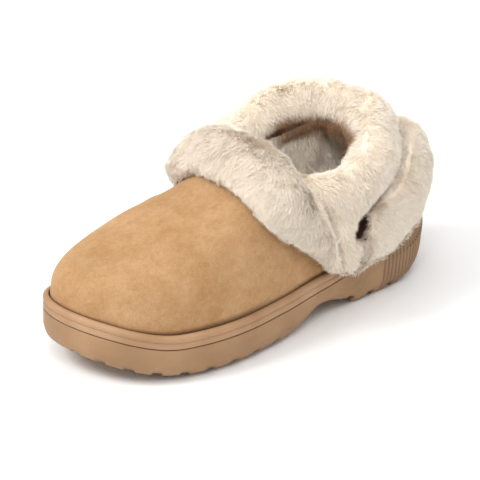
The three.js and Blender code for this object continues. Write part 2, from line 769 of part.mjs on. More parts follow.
// Heel strap from the heel's back (0) forward along either side: heights in COUNTER_HEIGHT,
// thick and tall in STRAP_ROLL, and reach past the outline in STRAP_REACH
const STRAP = [
  { at: 0, outer: 0.733, inner: 0.733, thick: 1, outerTall: 1.714, innerTall: 1.714, reach: 1 },
  { at: 0.06, outer: 0.711, inner: 0.756, thick: 0.964, outerTall: 1.643, innerTall: 1.714, reach: 0.923 },
  { at: 0.17, outer: 0.578, inner: 0.711, thick: 0.929, outerTall: 1.714, innerTall: 1.857, reach: 1.308 },
  { at: 0.26, outer: 0.489, inner: 0.667, thick: 0.857, outerTall: 1.429, innerTall: 1.857, reach: 1.385 },
  { at: 0.33, outer: 0.444, inner: 0.644, thick: 0.786, outerTall: 1.214, innerTall: 1.714, reach: 1.077 },
];
const STRAP_END = 0.33;
const STRAP_STEPS = 24;
const STRAP_COLUMNS = ["outer", "inner", "thick", "outerTall", "innerTall", "reach"];
const strap = Object.fromEntries(STRAP_COLUMNS.map((column) => [column, through(STRAP, column)]));

function strapSections(grow) {
  const end = turnAt(STRAP_END);
  const sections = [];
  for (let i = 0; i <= STRAP_STEPS; i += 1) {
    const turn = mix(end, -end, i / STRAP_STEPS);
    const share = shareAt(turn);
    const thick = strap.thick(share) * STRAP_ROLL;
    const height = (turn > 0 ? strap.outer(share) : strap.inner(share)) * COUNTER_HEIGHT;
    const tall = (turn > 0 ? strap.outerTall(share) : strap.innerTall(share)) * STRAP_ROLL;
    const place = edge(turn, strap.reach(share) * STRAP_REACH - thick, height);
    const out = edge(turn, 1, 0).sub(edge(turn, 0, 0));
    sections.push(roll(place, out, new THREE.Vector3(0, 0, 1), thick, tall, grow));
  }
  return sections;
}

const join = (solids) => wasm.Manifold.union(solids);
const minus = (solid, cuts) => solid.subtract(join(cuts));

// Which points of a section carry locks
const CUFF_LOCKS = { from: 10, to: 14 };
const COLLAR_LOCKS = { from: 11, to: 16 };
const STRAP_LOCKS = { from: 11, to: 14 };

function combedRoll(sections, closed, rows, keepClear) {
  return sweep(sections, closed).add(minus(join(locks(sections, rows)), keepClear));
}

const shellRoom = upperShell(GAP).subtract(collarCutter(-GAP));
const sole = soleFilled(GAP);
const filled = upperFilled(GAP);
const cuffRoom = sweep(cuffSections(GAP), false);
const collarRoom = join([sweep(collarSections(GAP), true), ...lobes(GAP)]);
const strapRoom = sweep(strapSections(LOCK_ROOM), false);
const cuffLocksRoom = sweep(cuffSections(LOCK_ROOM), false);
const slitEnds = [slitEnd(1), slitEnd(-1)];

const cuff = minus(combedRoll(cuffSections(0), false, CUFF_LOCKS, [collarRoom, strapRoom]), [filled, sole]);
const collarRing = minus(
  join([
    combedRoll(collarSections(0), true, COLLAR_LOCKS, [strapRoom, cuffLocksRoom]),
    minus(join(lobes(0)), [filled]),
  ]),
  [shellRoom, sole, cuff, cuffRoom, ...slitEnds],
);
const heelStrap = minus(combedRoll(strapSections(0), false, STRAP_LOCKS, [collarRoom]), [
  filled,
  sole,
  collarRoom,
  cuffRoom,
  ...slitEnds,
]);

const slipper = new THREE.Group();

function show(name, solid, color, roughness) {
  const made = largest(solid).getMesh();
  const geometry = new THREE.BufferGeometry();
  geometry.setAttribute("position", new THREE.BufferAttribute(new Float32Array(made.vertProperties), 3));
  geometry.setIndex(new THREE.BufferAttribute(new Uint32Array(made.triVerts), 1));
  geometry.computeVertexNormals();
  const mesh = new THREE.Mesh(geometry, new THREE.MeshStandardMaterial({ color, roughness, metalness: 0 }));
  mesh.name = name;
  slipper.add(mesh);
}

show("outsole", makeOutsole(), 0xa98560, 0.75);
show("midsole", makeMidsole(), 0xb8946c, 0.7);
show("insole", makeInsole(), 0xe6dac6, 0.98);
show("upper", makeUpper(), 0xcf9f6c, 0.95);
show("vamp_cuff", cuff, 0xefe5d5, 1);
show("collar_ring", collarRing, 0xefe5d5, 1);
show("heel_strap", heelStrap, 0xefe5d5, 1);

// The origin is the middle of the bounding box, on the floor
const box = new THREE.Box3().setFromObject(slipper);
slipper.position.set(-(box.min.x + box.max.x) / 2, -(box.min.y + box.max.y) / 2, -box.min.z);

export default slipper;
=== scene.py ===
"""Looks of the left clog slipper: suede upper, deep fleece trim and moulded sole.

Shapes are worked out in millimetres of the shoe, as the solids are: X runs from the heel's back to the toe,
Y to the outer side of the foot and Z up. placed() turns them into metres in the frame of the solids.
"""

import math

import bmesh
import bpy
import numpy as np
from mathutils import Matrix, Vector
from mathutils.bvhtree import BVHTree


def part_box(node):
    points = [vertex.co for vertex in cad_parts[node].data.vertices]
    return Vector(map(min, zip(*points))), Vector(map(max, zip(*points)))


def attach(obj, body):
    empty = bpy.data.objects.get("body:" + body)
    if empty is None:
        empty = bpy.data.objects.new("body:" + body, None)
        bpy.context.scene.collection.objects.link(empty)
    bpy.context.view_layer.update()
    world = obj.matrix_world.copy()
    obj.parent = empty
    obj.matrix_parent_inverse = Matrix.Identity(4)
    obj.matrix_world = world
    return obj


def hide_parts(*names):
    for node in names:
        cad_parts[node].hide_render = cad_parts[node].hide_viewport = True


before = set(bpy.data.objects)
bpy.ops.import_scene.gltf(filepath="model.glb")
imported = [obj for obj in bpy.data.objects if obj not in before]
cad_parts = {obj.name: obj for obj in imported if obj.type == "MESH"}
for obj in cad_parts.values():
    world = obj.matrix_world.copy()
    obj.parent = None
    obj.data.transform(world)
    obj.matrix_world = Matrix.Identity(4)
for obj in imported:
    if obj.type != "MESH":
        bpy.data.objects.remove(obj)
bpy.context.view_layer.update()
MM = 0.001
TAU = 2 * math.pi

# Sizes as in the solids
SOLE_LENGTH = 265
BALL_WIDTH = 107
HEEL_WIDTH = 76
TOE_SPRING = 14
ARCH_RISE = 10
HEEL_BEVEL = 8.5
HEEL_STACK = 42
BALL_STACK = 21.4
TOE_STACK = 34.5
SIDE_TUCK = 6.8
LEDGE_DROP = 10.8
LEDGE_DROP_MOST = 0.55
LEDGE_STEP = 1.2
RIB_PITCH = 3.2
RIB_START = 0.02
RIB_END = 0.22
LUG_PITCH = 16.5
LUG_GAP = 6
LUG_REACH = 13
LUG_RUNS = ((0.004, 0.3), (0.5, 0.997))
RIM_HEIGHT = 8.2
RIM_WALL = 2.2
RIM_ROUND = 2
TRAY_RISE = 3
HEEL_CUP_DEPTH = 9.5
INSOLE_THICKNESS = 5
GAP = 0.3
UPPER_WALL = 2.5
INSTEP_HEIGHT = 104
RIDGE_HEEL = 60
RIDGE_TOE_SETBACK = 30
RIDGE_SIDE = -0.02 * BALL_WIDTH
COUNTER_HEIGHT = 90
SIDE_HEIGHT = 84
THROAT_FROM_HEEL = 132
TOPLINE_OUTER_DROP = 30
TOPLINE_INNER_RISE = 12
UPPER_INSET = RIM_ROUND + RIM_WALL + GAP

# Sizes of the looks alone
LUG_DEPTH = 5.2  # deeper than in the solids, so that the notches show
RIB_DEPTH = 0.6  # a little less than in the solids, for ribs that are round
RIM_LIP = 3.5  # height of the rim's lower lip over the groove
LINING_DEPTH = UPPER_WALL + 1.5  # from the upper's face to the lining
LINING_ABOVE = 8  # how far the lining reaches over the topline

# Tables as in the solids: share of the length, then the columns
OUTLINE = (  # share, width that the sides are given in, outer side, inner side
    (0.03, HEEL_WIDTH, 0.241, 0.276),
    (0.11, HEEL_WIDTH, 0.467, 0.441),
    (0.25, HEEL_WIDTH, 0.539, 0.458),
    (0.39, BALL_WIDTH, 0.409, 0.336),
    (0.53, BALL_WIDTH, 0.482, 0.409),
    (0.67, BALL_WIDTH, 0.527, 0.471),
    (0.79, BALL_WIDTH, 0.494, 0.462),
    (0.89, BALL_WIDTH, 0.389, 0.398),
    (0.96, BALL_WIDTH, 0.222, 0.285),
)
HEEL_CENTRE_SIDE = -0.03 * HEEL_WIDTH
TOE_TIP_SIDE = -0.058 * BALL_WIDTH
UNDERSIDE = (
    (0, HEEL_BEVEL), (0.06, 0.27 * HEEL_BEVEL), (0.13, 0), (0.27, 0),
    (0.33, 0.62 * ARCH_RISE), (0.4, ARCH_RISE), (0.47, 0.3 * ARCH_RISE), (0.53, 0),
    (0.74, 0), (0.82, 0.1 * TOE_SPRING), (0.9, 0.38 * TOE_SPRING), (1, TOE_SPRING),
)
GROOVE = (
    (0, HEEL_STACK), (0.2, 0.79 * HEEL_STACK), (0.4, 1.04 * BALL_STACK),
    (0.6, BALL_STACK), (0.8, 1.02 * BALL_STACK), (1, TOE_STACK),
)
SIDE = ((0, 1, 0), (0.13, 0.58, 0.3), (0.42, 0.19, 0.8), (1, 0, 1))  # height share, tuck, proud
LEDGE = ((0, 1), (0.1, 0.8), (0.15, 0.25), (0.19, 0), (0.24, -0.8), (0.29, -0.9), (0.335, 0), (1, 0))
HEEL_CUP = ((0, HEEL_CUP_DEPTH), (0.2, 0.37 * HEEL_CUP_DEPTH), (0.4, 0), (1, 0))
RIDGE = (  # share, height as a share of the instep, fullness
    (0, 1.08, 2.3), (0.2, 1.08, 2.5), (0.42, 1, 2.9),
    (0.52, 0.905, 3), (0.615, 0.81, 3), (0.77, 0.73, 3.1),
    (0.9, 0.66, 3.1), (0.97, 0.632, 3), (1, 0.63, 3),
)
TOPLINE = (
    (0, COUNTER_HEIGHT), (0.25, 0.97 * COUNTER_HEIGHT), (0.55, 1.04 * SIDE_HEIGHT),
    (0.75, SIDE_HEIGHT), (0.9, 1.08 * SIDE_HEIGHT), (1, 1.24 * SIDE_HEIGHT),
)


def smooth_step(x, lo, hi):
    k = np.clip((x - lo) / (hi - lo), 0, 1)
    return k * k * (3 - 2 * k)


def normed(v):
    return v / np.linalg.norm(v)


def unit(v):
    """An array of vectors, each brought to the length 1 unless it is nothing."""
    return v / (np.linalg.norm(v, axis=-1, keepdims=True) + 1e-9)


def through(rows, column=1):
    """Smooth curve through a table's column that never passes a row's value by itself."""
    t = np.array([row[0] for row in rows], float)
    v = np.array([row[column] for row in rows], float)
    rise = np.diff(v) / np.diff(t)
    slope = np.zeros(len(v))
    slope[0], slope[-1] = rise[0], rise[-1]
    for i in range(1, len(v) - 1):
        before, after = rise[i - 1], rise[i]
        slope[i] = 0 if before * after <= 0 else 2 * before * after / (before + after)

    def value(x):
        x = np.clip(np.asarray(x, float), t[0], t[-1])
        i = np.clip(np.searchsorted(t, x, side="left") - 1, 0, len(t) - 2)
        span = t[i + 1] - t[i]
        k = (x - t[i]) / span
        rest = 1 - k
        ends = v[i] * rest * rest * (1 + 2 * k) + v[i + 1] * k * k * (3 - 2 * k)
        return ends + span * k * rest * (slope[i] * rest - slope[i + 1] * k)

    return value


underside = through(UNDERSIDE)
groove_height = through(GROOVE)
side_tuck = through(SIDE, 1)
side_proud = through(SIDE, 2)
ledge_step = through(LEDGE)
cup_drop = through(HEEL_CUP)
ridge_height = through(RIDGE, 1)
fullness = through(RIDGE, 2)
topline = through(TOPLINE)


def tray_floor(share):
    return groove_height(share) + TRAY_RISE - cup_drop(share)


def ledge_height(share):
    side = groove_height(share) - underside(share)
    return groove_height(share) - np.minimum(LEDGE_DROP, LEDGE_DROP_MOST * side)


def share_at(turn):
    return (1 - np.cos(turn)) / 2


def turn_at(share, side=1):
    """Turn at a share of the length, on the outer (1) or the inner (-1) side."""
    turn = np.arccos(1 - 2 * np.asarray(share, float))
    return turn if side > 0 else TAU - turn


knots = [(0.0, HEEL_CENTRE_SIDE)]
knots += [(turn_at(share), outer * width) for share, width, outer, _ in OUTLINE]
knots += [(math.pi, TOE_TIP_SIDE)]
knots += [(turn_at(share, -1), -inner * width) for share, width, _, inner in reversed(OUTLINE)]
KNOT_TURN, KNOT_SIDE = np.array(knots).T


def outline_side(turn):
    """Distance of the outline from the centre line, on a closed smooth curve through the knots."""
    n = len(KNOT_TURN)
    t = np.mod(turn, TAU)
    i = np.clip(np.searchsorted(KNOT_TURN, t, side="right") - 1, 0, n - 1)
    where = [np.mod(i + k, n) for k in (-1, 0, 1, 2)]
    lap = [(i + k - w) // n * TAU for k, w in zip((-1, 0, 1, 2), where)]
    ta, tb, tc, td = (KNOT_TURN[w] + p for w, p in zip(where, lap))
    a, b, c, d = (KNOT_SIDE[w] for w in where)

    def slope(tp, tq, tr, p, q, r):
        before, after = (q - p) / (tq - tp), (r - q) / (tr - tq)
        return (before * (tr - tq) + after * (tq - tp)) / (tr - tp)

    span = tc - tb
    k = (t - tb) / span
    rest = 1 - k
    ends = b * rest * rest * (1 + 2 * k) + c * k * k * (3 - 2 * k)
    return ends + span * k * rest * (slope(ta, tb, tc, a, b, c) * rest - slope(tb, tc, td, b, c, d) * k)


def edge(turn, out, height):
    """Points of the sole's outline moved out along its normal, in millimetres of the shoe."""
    turn, out, height = np.broadcast_arrays(np.asarray(turn, float), out, height)
    step = 0.002

    def at(s):
        return np.stack([SOLE_LENGTH * share_at(s), outline_side(s)], -1)

    along = at(turn + step) - at(turn - step)
    along /= np.linalg.norm(along, axis=-1, keepdims=True)
    p = at(turn)
    return np.stack([p[..., 0] - along[..., 1] * out, p[..., 1] + along[..., 0] * out, height], -1)


def upper_point(turn, rise, out=0.0):
    """Surface of the upper: rise runs from the tray (0) to the ridge (1), out moves it along its wall."""
    turn, rise, out = np.broadcast_arrays(np.asarray(turn, float), rise, out)
    share = share_at(turn)
    base = edge(turn, out - UPPER_INSET, tray_floor(share) + GAP)
    ridge = np.stack(
        [
            RIDGE_HEEL + (SOLE_LENGTH - RIDGE_TOE_SETBACK - RIDGE_HEEL) * share,
            np.full(share.shape, float(RIDGE_SIDE)),
            ridge_height(share) * INSTEP_HEIGHT + out,
        ],
        -1,
    )
    bend = rise * math.pi / 2
    power = 2 / fullness(share)
    inward = 1 - np.maximum(0, np.cos(bend)) ** power
    up = np.sin(bend) ** power
    return base + (ridge - base) * np.stack([inward, inward, up], -1)


# Where the shoe's own axes lie in the frame of the solids, from the rim's box
RIM_INSET = 0.3  # how far the rim's widest line lies inside the outline
rim_line = edge(np.linspace(0, TAU, 2000), -RIM_INSET, 0)
_, rim_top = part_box("midsole")
SHIFT = np.array([rim_top[0] / MM - rim_line[:, 0].max(), rim_top[1] / MM - rim_line[:, 1].max(), 0])


def placed(points):
    return (np.asarray(points, float) + SHIFT) * MM


def in_shoe(points):
    return points / MM - SHIFT


# Smooth seeded noise

NOISE_CELLS = 32  # the noise repeats after this many cells
NOISE_START = 100  # cells added so that all places are positive


def noise3(points, size, seed):
    """Smooth noise from -1 to 1 at points in millimetres, with features of the given size."""
    table = np.random.default_rng(seed).random((NOISE_CELLS, NOISE_CELLS, NOISE_CELLS)) * 2 - 1
    p = np.asarray(points, float) / size + NOISE_START
    i = np.floor(p).astype(int)
    f = p - i
    f = f * f * (3 - 2 * f)
    total = 0
    for corner in np.ndindex(2, 2, 2):
        cell = (i + corner) % NOISE_CELLS
        value = table[cell[..., 0], cell[..., 1], cell[..., 2]]
        total = total + np.where(corner, f, 1 - f).prod(axis=-1) * value
    return total


def lumps(points, layers):
    """Sum of layers of noise, each given by its height, the size of its features and its seed."""
    total = 0
    for height, size, seed in layers:
        total = total + height * noise3(points, size, seed)
    return total


# Mesh making


def linked(name, data):
    obj = bpy.data.objects.new(name, data)
    bpy.context.scene.collection.objects.link(obj)
    return obj


def new_mesh(name, verts, faces, smooth=True):
    """An object at the origin from vertices in metres and an array of faces of one size."""
    faces = np.asarray(faces, np.int32)
    mesh = bpy.data.meshes.new(name)
    mesh.vertices.add(len(verts))
    mesh.vertices.foreach_set("co", np.asarray(verts, np.float32).ravel())
    mesh.loops.add(faces.size)
    mesh.loops.foreach_set("vertex_index", faces.ravel())
    mesh.polygons.add(len(faces))
    mesh.polygons.foreach_set("loop_start", np.arange(len(faces), dtype=np.int32) * faces.shape[1])
    mesh.polygons.foreach_set("use_smooth", np.full(len(faces), smooth))
    mesh.update(calc_edges=True)
    mesh.validate()
    return linked(name, mesh)


def grid_faces(rows, columns, flip):
    """Quads of a grid whose rows are closed rings."""
    i = np.arange(rows - 1)[:, None]
    j = np.arange(columns)[None, :]
    k = (j + 1) % columns
    quad = np.stack([i * columns + j, (i + 1) * columns + j, (i + 1) * columns + k, i * columns + k], -1)
    quad = quad.reshape(-1, 4)
    return quad[:, ::-1] if flip else quad


def lid_faces(first, columns, flip):
    """Quads across a ring that has both sides at the same shares."""
    i = np.arange(columns // 2)
    quad = np.stack([first + i, first + (columns - i) % columns, first + columns - i - 1, first + i + 1], -1)
    return quad[:, ::-1] if flip else quad


def ring_mesh(name, points, flip=False, lid=None):
    """An object from rows of points that are closed rings. A lid closes the first (0) or the last (-1)."""
    rows, columns = points.shape[:2]
    faces = grid_faces(rows, columns, flip)
    if lid is not None:
        faces = np.concatenate([faces, lid_faces(lid % rows * columns, columns, flip=lid == 0)])
    return new_mesh(name, placed(points.reshape(-1, 3)), faces)


def add_float(obj, name, values):
    layer = obj.data.attributes.new(name, "FLOAT", "POINT")
    layer.data.foreach_set("value", np.asarray(values, np.float32).ravel())


def arrays_of(obj):
    """Places and normals of an object's vertices."""
    arrays = []
    for key in ("co", "normal"):
        values = np.empty(3 * len(obj.data.vertices), np.float32)
        obj.data.vertices.foreach_get(key, values)
        arrays.append(values.reshape(-1, 3).astype(float))
    return arrays


FINE_TURNS = np.linspace(0, math.pi, 20001)  # turns between which lengths along one side are summed up


def lengths_along(turns, apart=1.0):
    """How far each turn lies along the outline from the first, in steps that far apart."""
    steps = np.linalg.norm(np.diff(edge(turns, 0, 0), axis=0), axis=1) / apart
    return np.concatenate([[0], np.cumsum(steps)])


def ring_turns(spacing):
    """Turns of both sides at the same shares, spaced by a length or by a function of the share."""
    apart = spacing(share_at(FINE_TURNS[:-1])) if callable(spacing) else float(spacing)
    walked = lengths_along(FINE_TURNS, apart)
    count = int(round(walked[-1]))
    half = np.interp(np.linspace(0, walked[-1], count + 1), walked, FINE_TURNS)
    return np.concatenate([half, TAU - half[1:-1][::-1]])


def arc_lengths(turns):
    """Length along the outline from the heel's back, on each side by itself."""
    outer = np.interp(turns, FINE_TURNS, lengths_along(FINE_TURNS))
    inner = np.interp(TAU - turns, FINE_TURNS, lengths_along(TAU - FINE_TURNS))
    return np.where(turns <= math.pi, outer, inner)


# Materials


class Shader:
    """A node material in the making."""

    def __init__(self, name, **sockets):
        self.material = bpy.data.materials.new(name)
        self.material.use_nodes = True
        self.nodes = self.material.node_tree.nodes
        self.links = self.material.node_tree.links
        self.bsdf = self.nodes["Principled BSDF"]
        for key, value in sockets.items():
            self.bsdf.inputs[key.replace("_", " ")].default_value = value

    def node(self, kind, values, **settings):
        """A new node, its inputs set or linked by name or number."""
        made = self.nodes.new(kind)
        for key, value in settings.items():
            setattr(made, key, value)
        for key, value in values.items():
            if isinstance(value, bpy.types.NodeSocket):
                self.links.new(value, made.inputs[key])
            else:
                made.inputs[key].default_value = value
        return made

    def noise(self, scale, detail, rough):
        place = self.node("ShaderNodeTexCoord", {}).outputs["Object"]
        values = {"Vector": place, "Scale": scale, "Detail": detail, "Roughness": rough}
        return self.node("ShaderNodeTexNoise", values).outputs["Fac"]

    def ramp(self, value, stops):
        made = self.node("ShaderNodeValToRGB", {"Fac": value})
        ramp = made.color_ramp
        while len(ramp.elements) < len(stops):
            ramp.elements.new(0.5)
        for element, (at, colour) in zip(ramp.elements, stops):
            element.position = at
            element.color = (*colour, 1)
        return made.outputs["Color"]

    def mix(self, factor, a, b, blend="MIX"):
        """Mix of two colours, each a socket or a linear colour."""
        values = {"Factor": factor}
        for key, value in ((6, a), (7, b)):
            values[key] = (*value, 1) if isinstance(value, tuple) else value
        return self.node("ShaderNodeMix", values, data_type="RGBA", blend_type=blend).outputs[2]

    def math(self, operation, a, b):
        return self.node("ShaderNodeMath", {0: a, 1: b}, operation=operation).outputs[0]

    def attribute(self, name):
        return self.node("ShaderNodeAttribute", {}, attribute_name=name).outputs["Fac"]

    def bump(self, height, strength, distance, below=None):
        values = {"Strength": strength, "Distance": distance, "Height": height}
        if below is not None:
            values["Normal"] = below
        return self.node("ShaderNodeBump", values).outputs["Normal"]

    def finish(self, colour, normal=None, roughness=None):
        for key, value in (("Base Color", colour), ("Normal", normal), ("Roughness", roughness)):
            if value is not None:
                self.links.new(value, self.bsdf.inputs[key])
        return self.material


def srgb(code):
    """Linear colour from a hex code."""
    parts = [int(code[i : i + 2], 16) / 255 for i in (1, 3, 5)]
    return tuple(c / 12.92 if c <= 0.04045 else ((c + 0.055) / 1.055) ** 2.4 for c in parts)


def grey(level):
    return (level, level, level)


def suede_material():
    """Napped suede, cream where its backing shows, with painted shade where it meets the rim and in the
    slits' hollows.
    """
    s = Shader("suede", Roughness=0.92, Sheen_Weight=0.35, Sheen_Roughness=0.45, Specular_IOR_Level=0.2)
    s.bsdf.inputs["Sheen Tint"].default_value = (*srgb("#f0cfa6"), 1)
    broad = s.noise(22, 3, 0.5)
    cloud = s.noise(75, 4, 0.6)
    fine = s.noise(900, 5, 0.7)
    speck = s.noise(330, 4, 0.65)
    base = s.ramp(broad, [(0.3, srgb("#b08659")), (0.55, srgb("#be956c")), (0.75, srgb("#c59d72"))])
    nap = s.ramp(cloud, [(0.35, srgb("#a87e51")), (0.65, srgb("#cba67c"))])
    colour = s.mix(0.35, base, nap)
    specks = s.ramp(speck, [(0.35, (0.86, 0.84, 0.82)), (0.6, grey(1.04))])
    colour = s.mix(0.6, colour, specks, "MULTIPLY")
    grain = s.ramp(fine, [(0.3, grey(0.72)), (0.7, grey(1.12))])
    colour = s.mix(0.55, colour, grain, "MULTIPLY")
    colour = s.mix(s.attribute("cream"), colour, srgb("#efdcc2"))
    # Painted shade: dark brown where the suede meets the rim and inside the slits' hollows
    colour = s.mix(s.attribute("shaded"), colour, srgb("#5a3826"))
    normal = s.bump(fine, 0.35, 0.0006)
    normal = s.bump(cloud, 0.25, 0.0012, normal)
    return s.finish(colour, normal)


def sole_material(name, light, dark, hollow):
    """Matt moulded foam, with painted shade in its hollows."""
    s = Shader(name, Specular_IOR_Level=0.35, Coat_Weight=0.04, Coat_Roughness=0.5)
    cloud = s.noise(40, 3, 0.5)
    fine = s.noise(1600, 3, 0.6)
    pores = s.noise(5200, 2, 0.5)
    colour = s.ramp(cloud, [(0.3, srgb(dark)), (0.7, srgb(light))])
    colour = s.mix(0.12, colour, s.ramp(fine, [(0.3, grey(0.6)), (0.7, grey(1.1))]), "MULTIPLY")
    # Painted shade in the hollows: groove, notches, rib valleys, the ribbed heel and the tray
    colour = s.mix(s.attribute("hollow"), colour, srgb(hollow))
    rough = s.math("ADD", s.math("MULTIPLY", cloud, 0.12), 0.5)
    normal = s.bump(fine, 0.12, 0.0003)
    normal = s.bump(pores, 0.1, 0.0001, normal)
    return s.finish(colour, normal, rough)


def fleece_material(name, root, tip, shade):
    """Pile that is darker at its roots and patchy, with painted shade in creases, inside the mouth and in
    the slit's hollow.
    """
    s = Shader(name, Roughness=0.9, Specular_IOR_Level=0.1, Sheen_Weight=0.3, Sheen_Roughness=0.6)
    cloud = s.noise(26, 3, 0.5)
    colour = s.mix(s.attribute("tip"), srgb(root), srgb(tip))
    colour = s.mix(s.ramp(cloud, [(0.35, grey(0)), (0.75, grey(0.4))]), colour, srgb(shade))
    # Painted shade: brown inside the mouth, in the creases between pieces, and darkest in the slit's hollow
    colour = s.mix(s.attribute("mouth_shade"), colour, srgb("#96673a"))
    colour = s.mix(s.attribute("crease"), colour, srgb("#a37f69"))
    colour = s.mix(s.attribute("deep"), colour, srgb("#8a6450"))
    return s.finish(colour)


SUEDE = suede_material()
# 4a3726 is the dark brown of the painted shade in the hollows
SOLE = sole_material("sole_foam", "#ab8763", "#997654", "#4a3726")
RIM = sole_material("rim_foam", "#b79270", "#a57f5c", "#4a3726")
FLEECE = fleece_material("fleece", "#eedcc3", "#faf2e6", "#efdfc8")
LINING = fleece_material("lining_fleece", "#f6e6cd", "#fffaf1", "#f6e8d2")


def dress(obj, material, slot, *nodes):
    """Give a piece its material, attach it to the root body and hide the solids that it replaces; the slot
    is not used.
    """
    obj.data.materials.clear()
    obj.data.materials.append(material)
    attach(obj, "root")
    if nodes:
        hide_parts(*nodes)
    return obj


# Sole


OUTSOLE_SPACING = {"dots": 0.5, "ribs": 0.55, "rest": 1.0}  # between the columns of vertices
SEAT_INSETS = (34, 24, 17, LUG_REACH, 11, 9)  # rings of the underside, from its middle outwards
BOTTOM_ROUND = 1.2  # radius of the underside's edge
SIDE_ROWS = 25
RIB_FOOT = (0.04, 0.16)  # share of the side's height over which the ribs grow
RIB_HEAD = (0.85, 0.97)  # share of the band over the step over which they end
STEP_EDGE = 0.5  # height of the step's own edge
BAND_LEAN = 0.03 * SIDE_TUCK  # how far the band over the step leans in
GROOVE_LIP = 0.4  # height of the lip that rounds into the groove
GROOVE_MOUTH = 0.2  # inset of the groove's edges
GROOVE_WALL = 0.7  # how much further in the groove's own walls begin
SEAM_INSETS = (1.5, 4.0)  # rings of the faces that meet in the groove
RUN_ENDS = (0.015, 0.02)  # share of the length over which the ribs begin and end
DOT_PITCH = 3.0
DOT_RADIUS = 0.75
DOT_DEPTH = 0.4
DOT_ROWS = ((2.6, 0.22, 0.345), (4.4, 0.2, 0.33), (6.2, 0.215, 0.3))  # drop below the step, from, to
DOTS = (0.19, 0.37)  # share of the length where vertices are close enough for the dots
LUG_SIDES = (0.42, 0.58)  # shares of a gap between which a notch's side rises
LUG_RUNOUT = 4  # how far behind their reach the notches have faded
LUG_STEEP = 1.6  # how fast they deepen from there to the outline
HOLLOW_SHADES = {"ribs": 0.15, "rib": 0.5, "notch": 0.9, "groove": 0.6, "tray": 0.8}  # darkness of the painted shade in each hollow; ribs covers the whole ribbed heel
NOTCH_SHADE_TOP = 1.4  # how many notch depths up the side the painted shade ends
GROOVE_SHADE = 0.35  # how far under the seam the groove's painted shade begins
RIB_SHADE_ENDS = (1, 0.6)  # strips over the underside and under the groove that the ribs' painted shade leaves out


def outsole_spacing(share):
    coarse = np.where(share < RIB_END + RUN_ENDS[1], OUTSOLE_SPACING["ribs"], OUTSOLE_SPACING["rest"])
    return np.where((share > DOTS[0]) & (share < DOTS[1]), OUTSOLE_SPACING["dots"], coarse)


def quarter(k):
    """How far a rounded edge has run level and upright after the share k of its quarter circle."""
    return math.sin(k * math.pi / 2), 1 - math.cos(k * math.pi / 2)


def stacked(rows, share):
    """Insets and heights of the rows of a ring-shaped grid, one column per share."""
    return [np.array([np.broadcast_to(row[k], share.shape) for row in rows]) for k in (0, 1)]


def rib_shape(share, walked):
    """Depth of the heel's ribs at each column, and where there are ribs."""
    wave = 0.5 - 0.5 * np.cos(TAU * walked / RIB_PITCH)
    begun = smooth_step(share, RIB_START, RIB_START + RUN_ENDS[0])
    ribbed = begun * (1 - smooth_step(share, RIB_END - RUN_ENDS[1], RIB_END))
    return wave * ribbed * RIB_DEPTH, ribbed


def outsole_rows(share, rib, foot, ledge, groove):
    """Inset and height of the outsole's rows, from the middle of the underside to the seam in the groove."""
    step = ledge_step(share) * LEDGE_STEP
    rows = [(inset, foot) for inset in SEAT_INSETS]
    for k in np.linspace(0, 1, 5):
        level, upright = quarter(k)
        rows.append((SIDE_TUCK + BOTTOM_ROUND * (1 - level), foot + BOTTOM_ROUND * upright))
    low = foot + BOTTOM_ROUND
    for h in np.linspace(0, 1, SIDE_ROWS + 1)[1:]:
        inset = side_tuck(h) * SIDE_TUCK - side_proud(h) * step + rib * smooth_step(h, *RIB_FOOT)
        rows.append((inset, low + (ledge - low) * h))
    for k in (0.35, 0.7, 1):
        rows.append((-(1 - k) * step + rib, ledge + STEP_EDGE * k))
    band = groove - ledge - STEP_EDGE - GROOVE_LIP
    for k in np.linspace(0, 1, 10)[1:]:
        inset = BAND_LEAN * k + rib * (1 - smooth_step(k, *RIB_HEAD))
        rows.append((inset, ledge + STEP_EDGE + band * k))
    for k in (0.35, 0.7, 1):
        level, _ = quarter(k)
        rows.append((GROOVE_MOUTH + GROOVE_WALL * k, groove - GROOVE_LIP + GROOVE_LIP * level))
    rows += [(inset, groove) for inset in SEAM_INSETS]
    return rows


def dot_dents(share, walked, height, ledge):
    """Rows of small round dents under the step, at the waist."""
    dents = np.zeros(height.shape)
    across = np.abs((walked % DOT_PITCH) - DOT_PITCH / 2) / DOT_RADIUS
    for drop, start, end in DOT_ROWS:
        away = np.sqrt((np.abs(height - (ledge - drop)) / DOT_RADIUS) ** 2 + across**2)
        inside = (share > start) & (share < end)
        dents += np.where(inside & (away < 1), DOT_DEPTH * (1 - away**2), 0)
    return dents


def notch_opening(turns):
    """1 in a notch between two lugs, 0 on the lugs, for each column."""
    places = ring_turns(LUG_PITCH)
    on_run = np.zeros(places.shape, bool)
    for start, end in LUG_RUNS:
        on_run |= (share_at(places) > start) & (share_at(places) < end)
    centres = edge(places[on_run], 0, 0)
    here = edge(turns, 0, 0)
    gap = np.linalg.norm(here[:, None, :2] - centres[None, :, :2], axis=2).min(axis=1)
    return 1 - smooth_step(gap, LUG_SIDES[0] * LUG_GAP, LUG_SIDES[1] * LUG_GAP)


